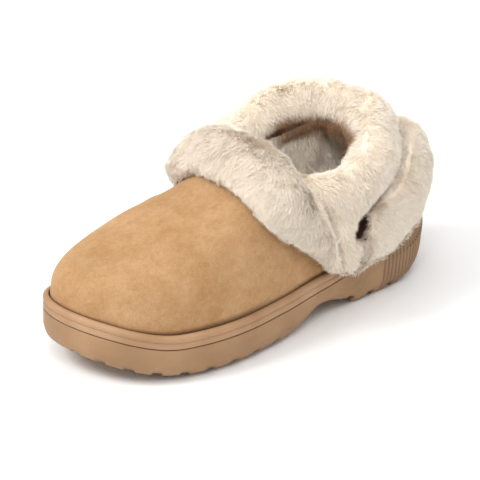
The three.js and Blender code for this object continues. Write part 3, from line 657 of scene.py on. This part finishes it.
def build_outsole():
    turns = ring_turns(outsole_spacing)
    share = share_at(turns)
    walked = arc_lengths(turns)
    foot, ledge, groove = underside(share), ledge_height(share), groove_height(share) - GAP / 2
    rib, ribbed = rib_shape(share, walked)
    inset, height = stacked(outsole_rows(share, rib, foot, ledge, groove), share)
    inset = inset + dot_dents(share, walked, height, ledge)
    notch = notch_opening(turns)
    deepened = LUG_STEEP * (LUG_REACH + LUG_RUNOUT - inset) / (LUG_REACH + LUG_RUNOUT - SIDE_TUCK)
    height = np.maximum(height, foot + LUG_DEPTH * notch * np.clip(deepened, 0, 1))
    points = edge(turns[None, :], -inset, height)
    # Painted shade: the ribbed heel and its rib valleys, the notches and the groove are darkened
    on_side = (height > foot + RIB_SHADE_ENDS[0]) & (height < groove - RIB_SHADE_ENDS[1])
    painted_rib_shade = np.where(on_side, HOLLOW_SHADES["ribs"] * ribbed + HOLLOW_SHADES["rib"] * (rib / RIB_DEPTH) ** 2, 0)
    painted_notch_shade = HOLLOW_SHADES["notch"] * notch * np.clip(NOTCH_SHADE_TOP - (height - foot) / LUG_DEPTH, 0, 1)
    painted_groove_shade = HOLLOW_SHADES["groove"] * smooth_step(height, groove - GROOVE_SHADE, groove)
    obj = ring_mesh("outsole_body", points, lid=0)
    add_float(obj, "hollow", np.maximum.reduce([painted_rib_shade, painted_notch_shade, painted_groove_shade]))
    return dress(obj, SOLE, "sole", "outsole")


RIM_SPACING = 1.2
LIP_ROUND = 0.8  # height of the rim's rounded lower edge
LIP_LEAN = 0.45  # how far the rim's lip leans in on its way up
RIM_BULGE = 2.35  # radius of the rim's rounded upper edge
RIM_BULGE_INSET = 0.25
LIP_CREASE = (1.0, 0.35)  # inset and height of the crease between lip and bulge
INNER_EDGE = ((1.0, 0.0), (0.3, 0.25), (0.05, 1.0), (0.0, 4.0))  # before the inner face, below the rim's top


def rim_rows(groove, top):
    """Inset and height of the rim's rows, from the seam in the groove to its inner face."""
    low = groove + GAP / 2
    rows = [(inset, low) for inset in reversed(SEAM_INSETS)]
    for k in np.linspace(0, 1, 5):
        level, upright = quarter(k)
        rows.append((GROOVE_MOUTH + GROOVE_WALL * (1 - level), low + LIP_ROUND * upright))
    lip = RIM_LIP - GAP / 2 - LIP_ROUND
    for k in np.linspace(0, 1, 6)[1:]:
        rows.append((GROOVE_MOUTH + LIP_LEAN * k * k, low + LIP_ROUND + lip * k))
    rows.append((LIP_CREASE[0], groove + RIM_LIP + LIP_CREASE[1]))
    for a in np.radians(np.linspace(-50, 90, 12)):
        inset = RIM_BULGE_INSET + RIM_BULGE * (1 - math.cos(a))
        rows.append((inset, top - RIM_BULGE + RIM_BULGE * math.sin(a)))
    inner = RIM_ROUND + RIM_WALL
    rows += [(inner - before, top - below) for before, below in INNER_EDGE]
    return rows


def build_midsole():
    turns = ring_turns(RIM_SPACING)
    share = share_at(turns)
    groove = groove_height(share)
    inset, height = stacked(rim_rows(groove, groove + RIM_HEIGHT), share)
    floor = edge(turns, -(RIM_ROUND + RIM_WALL), tray_floor(share))
    points = np.concatenate([edge(turns[None, :], -inset, height), floor[None]])
    obj = ring_mesh("rim_band", points, lid=-1)
    # The first four rows lie in the groove, and the last four go down to the tray's floor; both get painted
    # shade
    hollow = np.zeros(points.shape[:2])
    hollow[:4] = HOLLOW_SHADES["groove"]
    hollow[-4:] = HOLLOW_SHADES["tray"]
    add_float(obj, "hollow", hollow)
    return dress(obj, RIM, "rim", "midsole")


# Upper

UPPER_SPACING = 1.8
UPPER_ROWS = 90
ROW_CROWDING = 1.7  # how much closer the rows of vertices lie towards the top
UPPER_RELIEF = ((0.3, 26, 5), (0.12, 9, 6))  # height, size, seed
FOOT_TURN_IN = 0.6  # how far the upper's foot is turned in
UPPER_FADE = (0.0, 0.08)  # rise over which creases and relief begin
WELD = 0.02  # how near vertices are joined
# Painted shade on the suede at the rim's top and in the slits' hollows
RIM_SHADE = 0.75
RIM_SHADE_TO = (0.2, 2.0)  # heights over the rim between which its painted shade ends
SLIT_SHADE_TO = (1.2, 1.7)  # shares of a slit's hollow between which its painted shade ends
BACKING_FROM = (-19, -13)  # heights over the topline between which the cream backing begins
BACKING_TO = (44, 54)  # distances from the heel between which it ends
NUDGE = 0.02  # turn and rise by which the directions of a crease are found
CREASE_ENDS = 1.5  # how sharply a crease ends, against its sides
CREASES = (  # share, rise, length along, width, depth, slant: soft troughs and ridges of the vamp
    (0.66, 0.62, 34, 7, -0.5, 0.5),
    (0.60, 0.5, 30, 8, 0.45, 0.6),
    (0.74, 0.5, 26, 8, -0.35, -0.4),
    (0.56, 0.3, 30, 7, -0.5, 0.9),
    (0.62, 0.25, 26, 9, 0.4, 0.8),
    (0.8, 0.8, 30, 10, -0.4, 0.2),
    (0.9, 0.45, 22, 8, 0.35, -0.5),
)


def crease_depth(points, side):
    """Height of the vamp's soft creases at points on one side, the outer (1) or the inner (-1)."""
    total = np.zeros(points.shape[:-1])
    for share, rise, length, width, depth, slant in CREASES:
        turn = turn_at(share, side)
        centre = upper_point(turn, rise)
        ahead = normed(upper_point(turn + NUDGE * side, rise) - centre)
        climb = normed(upper_point(turn, rise + NUDGE) - centre)
        along = ahead * math.cos(slant) + climb * math.sin(slant)
        across = -ahead * math.sin(slant) + climb * math.cos(slant)
        d = points - centre
        a = d @ along / (length / 2)
        b = d @ across / (width / 2)
        total += depth * np.exp(-(a**2) * CREASE_ENDS - b**2)
    return total


SLIT_HOLLOW = {  # the hollow at the slit's front end, as in the solids
    "from_heel": 78, "height": 57, "reach": 4,
    "half_length": 9, "half_width": 5, "depth": 20,
    "fall": 1.8, "lead": 0.6, "tilt": 0.55,
}


def hollow_axes(side):
    """Middle of the hollow at the slit's front end, and its axes divided by their half lengths."""
    turn = turn_at(SLIT_HOLLOW["from_heel"] / SOLE_LENGTH, side)
    centre = edge(turn, SLIT_HOLLOW["reach"], SLIT_HOLLOW["height"])
    level = edge(turn, 1, 0) - edge(turn, 0, 0)
    forward = np.array([abs(level[1]), -np.sign(level[1]) * level[0], 0])
    out = normed(level + forward * SLIT_HOLLOW["lead"] + [0, 0, SLIT_HOLLOW["tilt"]])
    up = normed(np.array([0, 0, 1]) - out * out[2])
    along = normed(np.cross(out, up) * side - up * SLIT_HOLLOW["fall"])
    half = [[SLIT_HOLLOW[key]] for key in ("half_length", "depth", "half_width")]
    return centre, np.array([along, out, np.cross(along, out)]) / half


HOLLOWS = [hollow_axes(1), hollow_axes(-1)]


def from_hollow(mm):
    """Distance from the middle of the nearer hollow, 1 on its wall."""
    return np.min([np.linalg.norm((mm - centre) @ axes.T, axis=-1) for centre, axes in HOLLOWS], axis=0)


def over_topline(p):
    """How far points lie above the plane that cuts the foot opening."""
    tilt = -np.where(p[..., 1] > 0, TOPLINE_OUTER_DROP, TOPLINE_INNER_RISE) * p[..., 1] / (BALL_WIDTH / 2)
    return p[..., 2] - topline(p[..., 0] / THROAT_FROM_HEEL) - tilt


def above_topline(p):
    return (p[..., 0] < THROAT_FROM_HEEL) & (over_topline(p) > 0)


def upper_grid(turns, count, out, over=0.0):
    """Grid of the upper's surface from the tray to its ridge or to a line that far over its topline."""
    tries = np.linspace(0, 1, 400)
    cut = above_topline(upper_point(turns[:, None], tries[None, :], out) - [0, 0, over])
    first = np.where(cut.any(axis=1), tries[np.argmax(cut, axis=1)], 1.0)
    u = np.linspace(0, 1, count)[:, None]
    rise = first[None, :] * (1 - (1 - u) ** ROW_CROWDING)
    return upper_point(turns[None, :], rise, out), rise


def grid_normals(p):
    a = np.roll(p, -1, axis=1) - np.roll(p, 1, axis=1)
    b = np.gradient(p, axis=0)
    return unit(np.cross(a, b))


def build_upper():
    turns = ring_turns(UPPER_SPACING)
    p, rise = upper_grid(turns, UPPER_ROWS, 0.0)
    outer = (turns <= math.pi)[None, :]
    relief = np.where(outer, crease_depth(p, 1), crease_depth(p, -1)) + lumps(p, UPPER_RELIEF)
    p = p + grid_normals(p) * (relief * smooth_step(rise, *UPPER_FADE))[..., None]
    # The foot is turned in at the rim, and the cut edge at the topline shows the wall's thickness
    foot = edge(turns, -UPPER_INSET - FOOT_TURN_IN, tray_floor(share_at(turns)) + GAP)[None]
    inner_edge = upper_grid(turns, UPPER_ROWS, -UPPER_WALL)[0][-1:]
    p = np.concatenate([foot, p, inner_edge])
    obj = ring_mesh("suede_upper", p)
    weld(obj, WELD)
    mm = in_shoe(arrays_of(obj)[0])
    # Painted shade: darker where the suede meets the rim and inside the slits' hollows
    above_rim = mm[:, 2] - groove_height(mm[:, 0] / SOLE_LENGTH) - RIM_HEIGHT
    at_rim = RIM_SHADE * (1 - smooth_step(above_rim, *RIM_SHADE_TO))
    at_slit = 1 - smooth_step(from_hollow(mm), *SLIT_SHADE_TO)
    add_float(obj, "shaded", np.maximum(at_rim, at_slit))
    near_topline = smooth_step(over_topline(mm), *BACKING_FROM)
    add_float(obj, "cream", near_topline * (1 - smooth_step(mm[:, 0], *BACKING_TO)))
    return dress(obj, SUEDE, "suede", "upper")


def weld(obj, distance):
    bm = bmesh.new()
    bm.from_mesh(obj.data)
    bmesh.ops.remove_doubles(bm, verts=bm.verts, dist=distance * MM)
    bm.to_mesh(obj.data)
    bm.free()
    obj.data.update()


# Fleece


FLEECE_NODES = ("vamp_cuff", "collar_ring", "heel_strap")
BACKING_NODES = ("upper", "midsole", "outsole")
FLEECE_SHRINK = 2.6  # how far the fleece is drawn in where it is backed
OUTER_SWELL = 1.6  # how much less where nothing backs it
SWELL_FROM = 4  # distance from the backing where that begins
SWELL_OVER = 5  # and over which it grows
CLOSE_LESS = 0.6  # by what share it is drawn in less close to another fleece piece
CLOSE_FULL = 1.4
CLOSE_REACH = 5
CLOSE_FROM = (1.3, 2.0)  # shares of the slit's hollow between which that begins
FLEECE_SMOOTHING = 12
FLEECE_RELIEF = ((0.8, 14, 11), (0.5, 6, 12), (0.25, 3, 13))  # height, size, seed


def gaps_to(tree, points):
    """Distance from each point to a tree's surface in millimetres, and the way to it."""
    found = [tree.find_nearest(Vector(p)) for p in points]
    return np.array([f[3] for f in found]) / MM, unit(np.array([tuple(f[0]) for f in found]) - points)


def nearest_gap(nodes, points):
    trees = [tree_of(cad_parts[name]) for name in nodes]
    return np.min([gaps_to(tree, points)[0] for tree in trees], axis=0)


def refined(node, name, voxel):
    """A fine smooth copy of a fleece solid, drawn in so that its pile ends near the solid's surface."""
    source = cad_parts[node]
    obj = linked(name, source.data.copy())
    obj.matrix_world = source.matrix_world
    remesh = obj.modifiers.new("remesh", "REMESH")
    remesh.mode = "VOXEL"
    remesh.voxel_size = voxel * MM
    relax = obj.modifiers.new("relax", "SMOOTH")
    relax.factor = 0.6
    relax.iterations = FLEECE_SMOOTHING
    shown = obj.evaluated_get(bpy.context.evaluated_depsgraph_get())
    mesh = bpy.data.meshes.new_from_object(shown)
    obj.modifiers.clear()
    obj.data = mesh
    mesh.polygons.foreach_set("use_smooth", np.full(len(mesh.polygons), True))
    co, no = arrays_of(obj)
    mm = in_shoe(co)
    beside = nearest_gap([other for other in FLEECE_NODES if other != node], co)
    close = np.clip(CLOSE_FULL - beside / CLOSE_REACH, 0, 1)
    full = 1 - CLOSE_LESS * close * smooth_step(from_hollow(mm), *CLOSE_FROM)
    swell = OUTER_SWELL * np.clip((nearest_gap(BACKING_NODES, co) - SWELL_FROM) / SWELL_OVER, 0, 1)
    co = co - no * ((FLEECE_SHRINK - swell - lumps(mm, FLEECE_RELIEF)) * full * MM)[:, None]
    mesh.vertices.foreach_set("co", co.astype(np.float32).ravel())
    mesh.update()
    return obj


def tree_of(obj):
    mesh = obj.data
    co, _ = arrays_of(obj)
    return BVHTree.FromPolygons([tuple(v) for v in co], [tuple(p.vertices) for p in mesh.polygons])


def surface_samples(obj, count, seed):
    """Even random points on a mesh: the vertices of their triangles, their weights and the generator."""
    mesh = obj.data
    mesh.calc_loop_triangles()
    corners = np.empty(3 * len(mesh.loop_triangles), np.int32)
    mesh.loop_triangles.foreach_get("vertices", corners)
    corners = corners.reshape(-1, 3)
    co, _ = arrays_of(obj)
    a, b, c = (co[corners[:, k]] for k in range(3))
    area = np.linalg.norm(np.cross(b - a, c - a), axis=1)
    rng = np.random.default_rng(seed)
    pick = rng.choice(len(corners), count, p=area / area.sum())
    u, v = rng.random(count), rng.random(count)
    over = u + v > 1
    u, v = np.where(over, 1 - u, u), np.where(over, 1 - v, v)
    return corners[pick], np.stack([1 - u - v, u, v], 1), rng


MOUTH = {"centre": (84, -2), "half": (44, 27)}  # in plan
MOUTH_EDGE = (1, 1.15)  # shares of the mouth's half lengths between which its painted shade ends
# Painted shade inside the mouth: its weight, and the heights and distances from the heel between which it
# begins and ends
BAND_SHADE = {"weight": 0.9, "from": (87, 92), "to": (101, 107), "behind": (86, 98)}
HEEL_SHADE = {"weight": 0.8, "to": (95, 102), "behind": (50, 64)}
LOW_SHADE = {"weight": 0.3, "to": (55, 66)}


def shade_in_mouth(mm):
    """Painted shade inside the mouth: in a band under the collar's roll, towards the heel and low down."""
    x, y, z = mm.T
    (centre_x, centre_y), (half_x, half_y) = MOUTH["centre"], MOUTH["half"]
    inside = 1 - smooth_step(np.hypot((x - centre_x) / half_x, (y - centre_y) / half_y), *MOUTH_EDGE)
    band = smooth_step(z, *BAND_SHADE["from"]) * (1 - smooth_step(z, *BAND_SHADE["to"]))
    band = band * (1 - smooth_step(x, *BAND_SHADE["behind"]))
    heel = (1 - smooth_step(x, *HEEL_SHADE["behind"])) * (1 - smooth_step(z, *HEEL_SHADE["to"]))
    low = 1 - smooth_step(z, *LOW_SHADE["to"])
    painted_shades = [BAND_SHADE["weight"] * band, HEEL_SHADE["weight"] * heel, LOW_SHADE["weight"] * low]
    return np.maximum.reduce(painted_shades) * inside


CREASE_LEAN = 1.6
SLIT_AHEAD = (50, 64)  # distances from the heel between which the slit's crease deepens
SLIT_FOOT = (44, 52)  # heights between which it begins
SLIT_FAINT = 0.2  # what is left of it at the heel
SLIT_OPEN = (0.9, 1.7)  # shares of the slit's hollow between which pile begins to lean over it
SOFT_TOP = (74, 88)  # heights between which the crease of cuff and collar fades
SOFT_FAINT = 0.15  # what is left of it on top
OPENNESS = 0.85  # how little pile leans over a crease where it is deep


def slit_fade(mm):
    ahead = SLIT_FAINT + (1 - SLIT_FAINT) * smooth_step(mm[:, 0], *SLIT_AHEAD)
    return ahead * smooth_step(mm[:, 2], *SLIT_FOOT)


def slit_cover(mm):
    return CREASE_LEAN * smooth_step(from_hollow(mm), *SLIT_OPEN) * (1 - OPENNESS * slit_fade(mm))


def soft_fade(mm):
    return SOFT_FAINT + (1 - SOFT_FAINT) * (1 - smooth_step(mm[:, 2], *SOFT_TOP))


def soft_cover(mm):
    return np.full(len(mm), CREASE_LEAN)


# Where fleece pieces press together: how much the pile gives way, how dark the painted shade of the crease
# is, where both fade, and how far it leans over the crease
SLIT = {"press": 0.3, "tint": 0.85, "fade": slit_fade, "cover": slit_cover}
SOFT_CREASE = {"press": 0.0, "tint": 0.15, "fade": soft_fade, "cover": soft_cover}
PRESS_REACH = 7  # how near another fleece piece the pile is pressed down
LEAN_REACH = 9.1  # how near it leans
SHADE_FULL = 3  # gap up to which a crease has its full painted shade
SHADE_OVER = 5  # and over which the painted shade ends
RUFFLE_REACH = 9  # how near the vamp it is ruffled
DEEP_TO = (0.85, 1.25)  # shares of the slit's hollow between which its dark painted shade ends
DEEP_PRESS = 0.45
PILE_CLEAR = 2.5  # room that pile needs in front of a wall
CLEAR_START = 0.3  # height over the base from which that room is measured


def grown(base, walls, near, edge_tree):
    """What the pile of each vertex of a base does: blocked, pressed down, ruffled, leaning, and its painted
    shade.
    """
    co, no = arrays_of(base)
    mm = in_shoe(co)
    blocked = np.zeros(len(co))
    for k, (p, n) in enumerate(zip(co, no)):
        start, ray = Vector(p + n * CLEAR_START * MM), Vector(n)
        blocked[k] = any(tree.ray_cast(start, ray, PILE_CLEAR * MM)[0] is not None for tree in walls)
    press = np.zeros(len(co))
    crease = np.zeros(len(co))
    lean = np.zeros((len(co), 3))
    for tree, kind in near:
        gap, way = gaps_to(tree, co)
        fade = kind["fade"](mm)
        press = np.maximum(press, kind["press"] * fade * np.clip(1 - gap / PRESS_REACH, 0, 1))
        tint = np.clip(1 - (gap - SHADE_FULL) / SHADE_OVER, 0, 1) ** 1.5
        crease = np.maximum(crease, kind["tint"] * fade * tint)
        lean += way * (kind["cover"](mm) * np.clip((LEAN_REACH - gap) / PRESS_REACH, 0, 1))[:, None]
    ruffled = np.zeros(len(co))
    if edge_tree is not None:
        ruffled = np.clip(1 - gaps_to(edge_tree, co)[0] / RUFFLE_REACH, 0, 1)
    deep = 1 - smooth_step(from_hollow(mm), *DEEP_TO)
    press = np.maximum(press, DEEP_PRESS * deep)
    # Painted shade: in creases, inside the mouth and in the slit's hollow
    painted_shades = {"crease": crease, "mouth_shade": shade_in_mouth(mm), "deep": deep}
    for key, values in painted_shades.items():
        add_float(base, key, values)
    add_float(base, "tip", np.full(len(co), BASE_TIP))
    return {"blocked": blocked, "press": press, "ruffled": ruffled, "lean": lean, "painted_shades": painted_shades}


# Strands of pile. A strand's way is a sum of directions with these weights
UPRIGHT_SHARE = 0.12
UPRIGHT_LIFT = 1.5
LYING_LIFT = 0.7
SWIRL = {"weight": 0.45, "size": 15}
TUFT = {"weight": 0.3, "ruffled": 0.5, "size": 4.5}
STRAY = 0.13
TWIST = 0.25
BEND_ALONG = 0.5
BEND_DOWN = 0.25
PATCH = {"weight": 0.15, "size": 8}  # patches of longer and shorter pile
SHORTEST = 0.8  # share of the length that the shortest strands have
LENGTH_RANGE = 0.4
SPIKE_LENGTH = 0.75
UPRIGHT_WIDTH = 0.6
MID_WIDTH = 0.8
ROOT_DEPTH = 0.6  # how far roots lie under the base
SPARE = 1.6  # samples taken for each strand, since some are blocked
BLOCKED_MOST = 0.34
BASE_TIP = 0.4  # how light the base is, from the root's colour (0) to the tip's (1)
STRIP_TIPS = [0.2, 0.2, 0.7, 0.7, 1.0]
SPIKE_TIPS = [0.3, 0.3, 0.9]


def strand_ways(mm, normal, ruffled, leaning, comb, seed, rng):
    """Which way each strand stands at its root and in its upper half, and which strands are upright."""
    swirl = np.stack([noise3(mm, SWIRL["size"], seed + k) for k in (1, 2, 3)], -1)
    tuft = np.stack([noise3(mm, TUFT["size"], seed + k) for k in (4, 5, 6)], -1)
    tuft = tuft * (TUFT["weight"] + TUFT["ruffled"] * ruffled)[:, None]
    stray = rng.normal(0, 1, mm.shape)
    combed = np.array(comb) * np.clip(1 - np.linalg.norm(leaning, axis=1), 0, 1)[:, None]
    flow = combed + SWIRL["weight"] * swirl + leaning
    flow = unit(flow - normal * np.einsum("ij,ij->i", flow, normal)[:, None])
    upright = rng.random(len(mm)) < UPRIGHT_SHARE
    lift = np.where(upright, UPRIGHT_LIFT, LYING_LIFT)[:, None]
    way = unit(lift * normal + flow + tuft + STRAY * stray)
    return way, unit(way + BEND_ALONG * flow - BEND_DOWN * normal + tuft), upright


def strand_mesh(name, root, way, bend, across, reach, bent):
    """One mesh of strands: the first ones are bent strips that taper to a point, the others plain spikes."""
    half = (reach / 2)[:, None]
    mid = root + way * half
    tip = mid + bend * half
    b = slice(0, bent)
    wide = across[b] * MID_WIDTH
    strips = np.stack([root[b] - across[b], root[b] + across[b], mid[b] - wide, mid[b] + wide, tip[b]], 1)
    c = slice(bent, None)
    spikes = np.stack([root[c] - across[c], root[c] + across[c], root[c] + way[c] * reach[c, None]], 1)
    first = np.arange(bent)[:, None] * len(STRIP_TIPS)
    faces = [first + corner for corner in ([0, 1, 3], [0, 3, 2], [2, 3, 4])]
    faces.append(bent * len(STRIP_TIPS) + np.arange(3 * len(spikes)).reshape(-1, 3))
    verts = np.concatenate([strips.reshape(-1, 3), spikes.reshape(-1, 3)])
    hair = new_mesh(name, verts, np.concatenate(faces))
    add_float(hair, "tip", np.concatenate([np.tile(STRIP_TIPS, bent), np.tile(SPIKE_TIPS, len(spikes))]))
    return hair


def pile(name, base, strands, size, seed, grow, material, comb, slot):
    """Fleece on a base as one mesh: bent strands among shorter straight ones, combed flat."""
    kept = 1.0
    bent, straight = (int(count * kept) for count in strands)
    length, width = size
    corners, weights, rng = surface_samples(base, int((bent + straight) * SPARE), seed)

    def at_samples(values):
        return (values[corners] * (weights[..., None] if values.ndim > 1 else weights)).sum(axis=1)

    free = np.flatnonzero(at_samples(grow["blocked"]) < BLOCKED_MOST)[: bent + straight]
    corners, weights = corners[free], weights[free]
    bent = min(bent, len(free))
    co, no = arrays_of(base)
    point, normal = at_samples(co), unit(at_samples(no))
    mm = in_shoe(point)
    ruffled, leaning = at_samples(grow["ruffled"]), at_samples(grow["lean"])
    way, bend, upright = strand_ways(mm, normal, ruffled, leaning, comb, seed, rng)
    reach = length * MM * (SHORTEST + LENGTH_RANGE * rng.random(len(free)))
    reach *= 1 + PATCH["weight"] * noise3(mm, PATCH["size"], seed + 7)
    reach *= 1 - at_samples(grow["press"])
    reach[bent:] *= SPIKE_LENGTH
    across = unit(np.cross(way, normal) + TWIST * rng.normal(0, 1, mm.shape)) * (width * MM / 2)
    across[upright] *= UPRIGHT_WIDTH
    across[np.einsum("ij,ij->i", np.cross(across, way), normal) < 0] *= -1
    hair = strand_mesh(name, point - normal * ROOT_DEPTH * MM, way, bend, across, reach, bent)
    # The painted shade of the base goes on to its strands
    for key, of_base in grow["painted_shades"].items():
        tint = at_samples(of_base)
        repeated = [np.repeat(tint[:bent], len(STRIP_TIPS)), np.repeat(tint[bent:], len(SPIKE_TIPS))]
        add_float(hair, key, np.concatenate(repeated))
    return dress(hair, material, slot)


# Lining and footbed

LINING_SPACING = 3.0
LINING_ROWS = 44
LINING_RELIEF = ((0.7, 12, 31), (0.4, 5, 32))  # height, size, seed
FOOTBED_SPACING = 2.5
FOOTBED_RINGS = 22
FOOTBED_RELIEF = ((0.6, 11, 41), (0.4, 5, 42))
FOOTBED_EDGE = ((0, 4.5), (0, 1.5), (1, 0.4))  # inset and drop of the rings of its rounded edge
FOOTBED_TOP_INSET = 2.5
FOOTBED_WELD = 0.1


def build_lining():
    """Fleece lining inside the upper, down to the footbed."""
    p, _ = upper_grid(ring_turns(LINING_SPACING), LINING_ROWS, -LINING_DEPTH, over=LINING_ABOVE)
    p = p + grid_normals(p) * lumps(p, LINING_RELIEF)[..., None]
    obj = ring_mesh("fleece_lining", p, flip=True)
    weld(obj, WELD)
    return dress(obj, LINING, "fleece")


def build_footbed():
    """Footbed with a rounded edge, closed along its middle."""
    turns = ring_turns(FOOTBED_SPACING)
    share = share_at(turns)
    inset = UPPER_INSET + UPPER_WALL + GAP
    top = tray_floor(share) + GAP + INSOLE_THICKNESS
    rings = [edge(turns, -inset - further, top - drop) for further, drop in FOOTBED_EDGE]
    start = edge(turns, -inset - FOOTBED_TOP_INSET, top)
    middle = np.stack([start[:, 0], np.zeros(share.shape), top], -1)
    rings += [start + (middle - start) * k for k in np.linspace(0, 1, FOOTBED_RINGS)]
    p = np.array(rings)
    lift = lumps(p, FOOTBED_RELIEF)
    lift[: len(FOOTBED_EDGE)] = 0
    p[..., 2] += lift
    obj = ring_mesh("fleece_footbed", p)
    weld(obj, FOOTBED_WELD)
    return dress(obj, LINING, "footbed", "insole")


# Putting the pieces together

outsole = build_outsole()
rim = build_midsole()
suede = build_upper()
lining = build_lining()
footbed = build_footbed()
cuff = dress(refined("vamp_cuff", "cuff_base", 1.7), FLEECE, "fleece", "vamp_cuff")
collar = dress(refined("collar_ring", "collar_base", 1.9), FLEECE, "fleece", "collar_ring")
strap = dress(refined("heel_strap", "strap_base", 1.7), FLEECE, "fleece", "heel_strap")

suede_tree = tree_of(suede)
wall_trees = [tree_of(outsole), tree_of(rim), suede_tree]
fleece_trees = {piece.name: tree_of(piece) for piece in (cuff, collar, strap)}
TRIM_STRAND = (5.0, 0.46)  # length and width
near_cuff = [(fleece_trees["collar_base"], SOFT_CREASE)]
near_collar = [(fleece_trees["strap_base"], SLIT), (fleece_trees["cuff_base"], SOFT_CREASE)]
near_strap = [(fleece_trees["collar_base"], SLIT)]
for piece, near, strands, seed, comb in (
    (cuff, near_cuff, (32000, 90000), 101, (0.6, 0, -0.8)),
    (collar, near_collar, (33000, 95000), 201, (-0.2, 0, -1)),
    (strap, near_strap, (28000, 90000), 301, (-0.5, 0, -0.85)),
):
    walls = wall_trees + [tree for name, tree in fleece_trees.items() if name != piece.name]
    grow = grown(piece, walls, near, suede_tree)
    pile(piece.name.replace("base", "pile"), piece, strands, TRIM_STRAND, seed, grow, FLEECE, comb, "fleece")

grow = grown(lining, list(fleece_trees.values()), [], None)
pile("lining_pile", lining, (14000, 50000), (5, 0.6), 401, grow, LINING, (0, 0, -0.6), "fleece")
grow = grown(footbed, [], [], None)
pile("footbed_pile", footbed, (6000, 26000), (4, 0.6), 501, grow, LINING, (0.3, 0, 0), "footbed")

# Floor, light and camera

FLOOR_HALF = 3.0
floor_corners = [(x * FLOOR_HALF, y * FLOOR_HALF, 0) for x, y in ((-1, -1), (1, -1), (1, 1), (-1, 1))]
floor = new_mesh("floor", floor_corners, [(0, 1, 2, 3)], smooth=False)
paper = Shader("floor_paper", Roughness=0.9, Specular_IOR_Level=0.1)
mottle = paper.ramp(paper.noise(6, 2, 0.5), [(0.3, grey(0.965)), (0.7, grey(0.98))])
floor.data.materials.append(paper.finish(mottle))

SKY = {"low": 0.2, "high": 1.25}  # strength of the white studio at the horizon and overhead
world = bpy.data.worlds.new("studio")
world.use_nodes = True
world_nodes = world.node_tree.nodes
world_links = world.node_tree.links
background = world_nodes["Background"]
background.inputs["Color"].default_value = (1, 1, 1, 1)
direction = world_nodes.new("ShaderNodeTexCoord")
height_of = world_nodes.new("ShaderNodeSeparateXYZ")
overhead = world_nodes.new("ShaderNodeMapRange")
overhead.inputs["To Min"].default_value = SKY["low"]
overhead.inputs["To Max"].default_value = SKY["high"]
world_links.new(direction.outputs["Generated"], height_of.inputs[0])
world_links.new(height_of.outputs["Z"], overhead.inputs["Value"])
world_links.new(overhead.outputs["Result"], background.inputs["Strength"])
bpy.context.scene.world = world
bpy.context.scene.view_settings.view_transform = "Standard"


def aimed(name, data, place, target):
    """A light or camera at a place, turned to a target, both in metres."""
    obj = linked(name, data)
    obj.location = place
    obj.rotation_mode = "QUATERNION"
    obj.rotation_quaternion = (Vector(target) - Vector(place)).to_track_quat("-Z", "Y")
    return obj


def area_light(name, place, size, power, colour=(1, 1, 1)):
    light = bpy.data.lights.new(name, "AREA")
    light.shape = "DISK"
    light.size = size
    light.energy = power
    light.color = colour
    aimed(name, light, place, (0, 0, 0.05))


area_light("key", (1.3, -0.5, 1.5), 0.8, 20.5, (1, 0.99, 0.98))
area_light("fill", (0.8, 1.1, 1.7), 0.9, 11)
mouth_light = bpy.data.lights.new("mouth", "SPOT")
mouth_light.energy = 60
mouth_light.spot_size = math.radians(3.2)
mouth_light.spot_blend = 1
mouth_light.shadow_soft_size = 0.06
aimed("mouth", mouth_light, (0.3, 0.5, 0.85), placed((70, -22, 70)))

CAMERA_FROM_SHOE = (980, 1125, 773)  # where the photo was taken from, in millimetres of the shoe
CAMERA_AIM = (136, 2, 48)
PHOTO_FOCUS = 1952  # in pixels of the photo
PHOTO_WIDTH = 480
SENSOR_WIDTH = 36
FRAME_FILL = 1.36  # how much closer than in the photo the shoe is framed
camera_data = bpy.data.cameras.new("camera")
camera_data.sensor_width = SENSOR_WIDTH
camera_data.lens = PHOTO_FOCUS / PHOTO_WIDTH * SENSOR_WIDTH * FRAME_FILL
camera_data.clip_start, camera_data.clip_end = 0.1, 20
bpy.context.scene.camera = aimed("camera", camera_data, placed(CAMERA_FROM_SHOE), placed(CAMERA_AIM))
